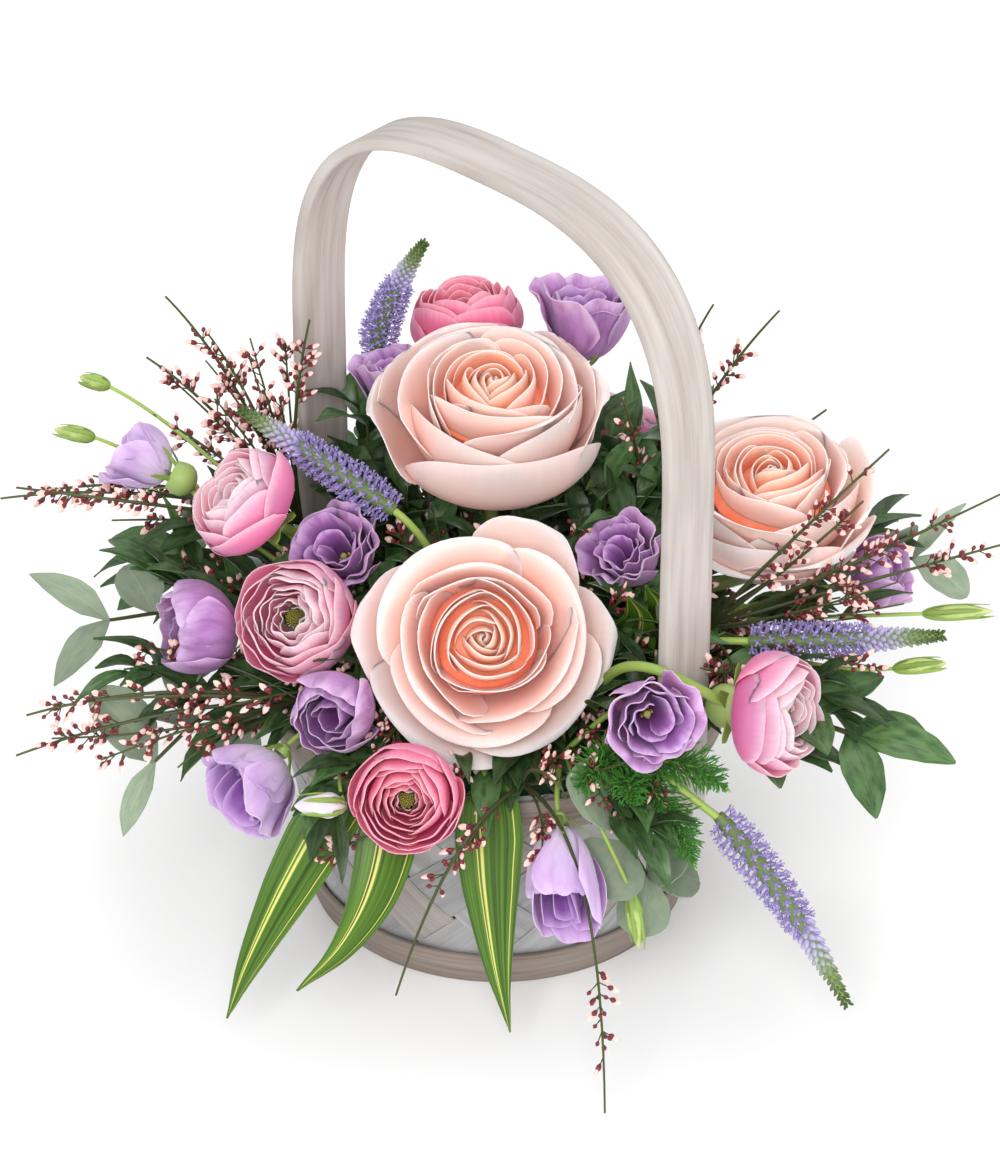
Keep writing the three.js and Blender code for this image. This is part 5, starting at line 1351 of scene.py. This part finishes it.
# leaves: sepal thin and fresh, gum bloomed with wax, dark leaf glossy, filling leaf in the blooms' shade
sepalGreen = leafMaterial("sepal", "#7E9A45", "#95AD62", "#B4C583", 4)
gumGreen = leafMaterial("bloomed gum leaf", "#6E7F68", "#86937C", "#98A58C", 10, 0.6, "#788A74", 0.35, 0.2)
darkGreen = leafMaterial("dark glossy leaf", "#34552A", "#4F6E40", "#5E7C48", 12, 0.34, "#2E4C26", 0.35)
fillGreen = leafMaterial("shaded filling leaf", "#29431F", "#3C5630", "#4A6638", 9, 0.4, "#1F3519")
stripedGreen = stripedMaterial("cream striped leaf", "#3C6206", "#4F7426", "#264408", "#6B9327", "#D8D474")
# speedwell bud, a closed calyx: lilac grey low on the spike, dark green at its tip
speedwellBud = startMaterial("speedwell bud", {"Roughness": 0.6})
budColour = addNode(speedwellBud, "ValToRGB", [speedwellBud.depth], stops=[
    (0.0, "#AEA4CC"), (0.3, "#A6A9B0"), (0.6, "#7C8C66"), (1.0, "#425A20")])
speedwellBud.tree.links.new(budColour, speedwellBud.shader.inputs["Base Color"])

print("roses")
for name, spec in rose["blooms"].items():
    makePiece("rosePetals_" + name, rosePetals(spec), [roseBlush], ["rose_%s_petals" % name])
    makePiece("roseGreens_" + name, roseGreens(spec), [roseStemGreen, sepalGreen],
              ["rose_%s_stem" % name])

print("ranunculi")
for name, spec in ranunculus["blooms"].items():
    paint, slot = pinkRanunculus, "ranunculus_pink"
    if "hot" in spec:
        paint, slot = hotRanunculus, "ranunculus_hot_pink"
    makePiece("ranunculusPetals_" + name, ranunculusPetals(spec), [paint, knobGreen, stamenDark],
              ["ranunculus_%s_petals" % name])
    makePiece("ranunculusGreens_" + name, ranunculusGreens(spec), [freshStemGreen, sepalGreen],
              ["ranunculus_%s_stem" % name])

print("lisianthi")
for number, (name, spec) in enumerate(lisianthus["blooms"].items()):
    paint, slot = (paleBell, "lisianthus_pale") if "pale" in spec else (lilacBell, "lisianthus_lilac")
    makePiece("lisianthusPetals_" + name, lisianthusPetals(spec, 40 + number),
              [paint, pollenYellow, stigmaGreen], ["lisianthus_%s_petals" % name])
for name, spec in lisianthus["sprays"].items():
    makePiece("lisianthusGreens_" + name, lisianthusGreens(name, spec),
              [freshStemGreen, sepalGreen, budGreen, paleBud], ["lisianthus_%s_green" % name])

print("speedwell")
for name, spec in speedwell["spikes"].items():
    makePiece("speedwell_spike_" + name, speedwellSpike(name, spec),
              [floretLavender, speedwellBud.material, spikeGreen, freshStemGreen], ["speedwell_" + name])

print("leaves")
for name, spec in striped.items():
    makePiece("stripedBlades_" + name, stripedLeaves(name, spec), [stripedGreen, freshStemGreen],
              ["striped_leaves_" + name])
for name, spec in eucalyptus.items():
    makePiece("gumLeaves_" + name, eucalyptusArms(name, spec), [gumGreen, twigGreen],
              ["eucalyptus_" + name])
for name, spec in darkSprigs.items():
    makePiece("darkSprig_" + name, darkLeaves(name, spec), [darkGreen, twigGreen],
              ["dark_leaves_" + name])
makePiece("softFern", fernFronds(), [fernGreen, freshStemGreen], ["fern_right"])

print("filling leaves")
fillLeaves, fillTwigs = underGrowth()
makePiece("fillingLeaves", fillLeaves, [fillGreen, darkGreen])
makePiece("fillingTwigs", fillTwigs, [twigGreen, broomPink, broomRed])

print("broom")
for name, spec in brooms.items():
    makePiece("broomTwigs_" + name, broom(spec), [twigGreen, broomPink, broomRed], ["broom_" + name])


# floor, light and camera, in metres

studio = {
    "floorReach": 6, "floorTone": 0.93, "skyStrength": 0.78, "aim": (0, 0, 0.15),
    "lamps": {"keyBox": ((-0.3, -2.1, 1.7), 1.2, 46), "fillBox": ((1.5, -1.6, 1.2), 1.4, 12),
              "topBox": ((0.2, 0.9, 2.2), 1.2, 12)},  # where it stands, its size, its power in watts
    "lens": 147.9, "sensorHeight": 36,  # mm
    "eye": (0.0008, -1.6982, 1.3087), "target": (0.0008, 0, 0.152),
}


def lookingAt(eye, target):  # where a camera or a lamp stands, turned to its target
    back = unit(np.array(eye, float) - np.array(target, float))
    side = unit(np.cross((0, 0, 1), back))
    up = np.cross(back, side)
    return Matrix([[side[i], up[i], back[i], eye[i]] for i in range(3)] + [[0, 0, 0, 1]])


print("studio")
# floor of smooth matt card, painted: pale and even, it takes the basket's soft shadow and no gloss
floorCard = startMaterial("pale floor", {"Roughness": 0.9, "Base Color": [studio["floorTone"]] * 3 + [1]})
r = studio["floorReach"]
floorMesh = bpy.data.meshes.new("paleFloor")
floorMesh.from_pydata([(-r, -r, 0), (r, -r, 0), (r, r, 0), (-r, r, 0)], [], [(0, 1, 2, 3)])
floorMesh.materials.append(floorCard.material)
inScene("paleFloor", floorMesh)

world = bpy.data.worlds.new("studio")
bpy.context.scene.world = world
world.use_nodes = True
sky = next(n for n in world.node_tree.nodes if n.type == "BACKGROUND")
sky.inputs["Color"].default_value = (1, 1, 1, 1)
sky.inputs["Strength"].default_value = studio["skyStrength"]

for name, (spot, size, power) in studio["lamps"].items():
    light = bpy.data.lights.new(name, "AREA")
    light.shape = "RECTANGLE"
    light.size, light.size_y = size, size
    light.energy = power
    lamp = inScene(name, light)
    lamp.matrix_world = lookingAt(spot, studio["aim"])

cameraData = bpy.data.cameras.new("photoView")
cameraData.sensor_fit = "VERTICAL"
cameraData.sensor_height = studio["sensorHeight"]
cameraData.lens = studio["lens"]
cameraData.dof.use_dof = False
camera = inScene("photoView", cameraData)
camera.matrix_world = lookingAt(studio["eye"], studio["target"])
bpy.context.scene.camera = camera

bpy.context.scene.view_settings.view_transform = "Standard"
bpy.context.scene.view_settings.look = "None"
bpy.context.scene.view_settings.exposure = 0
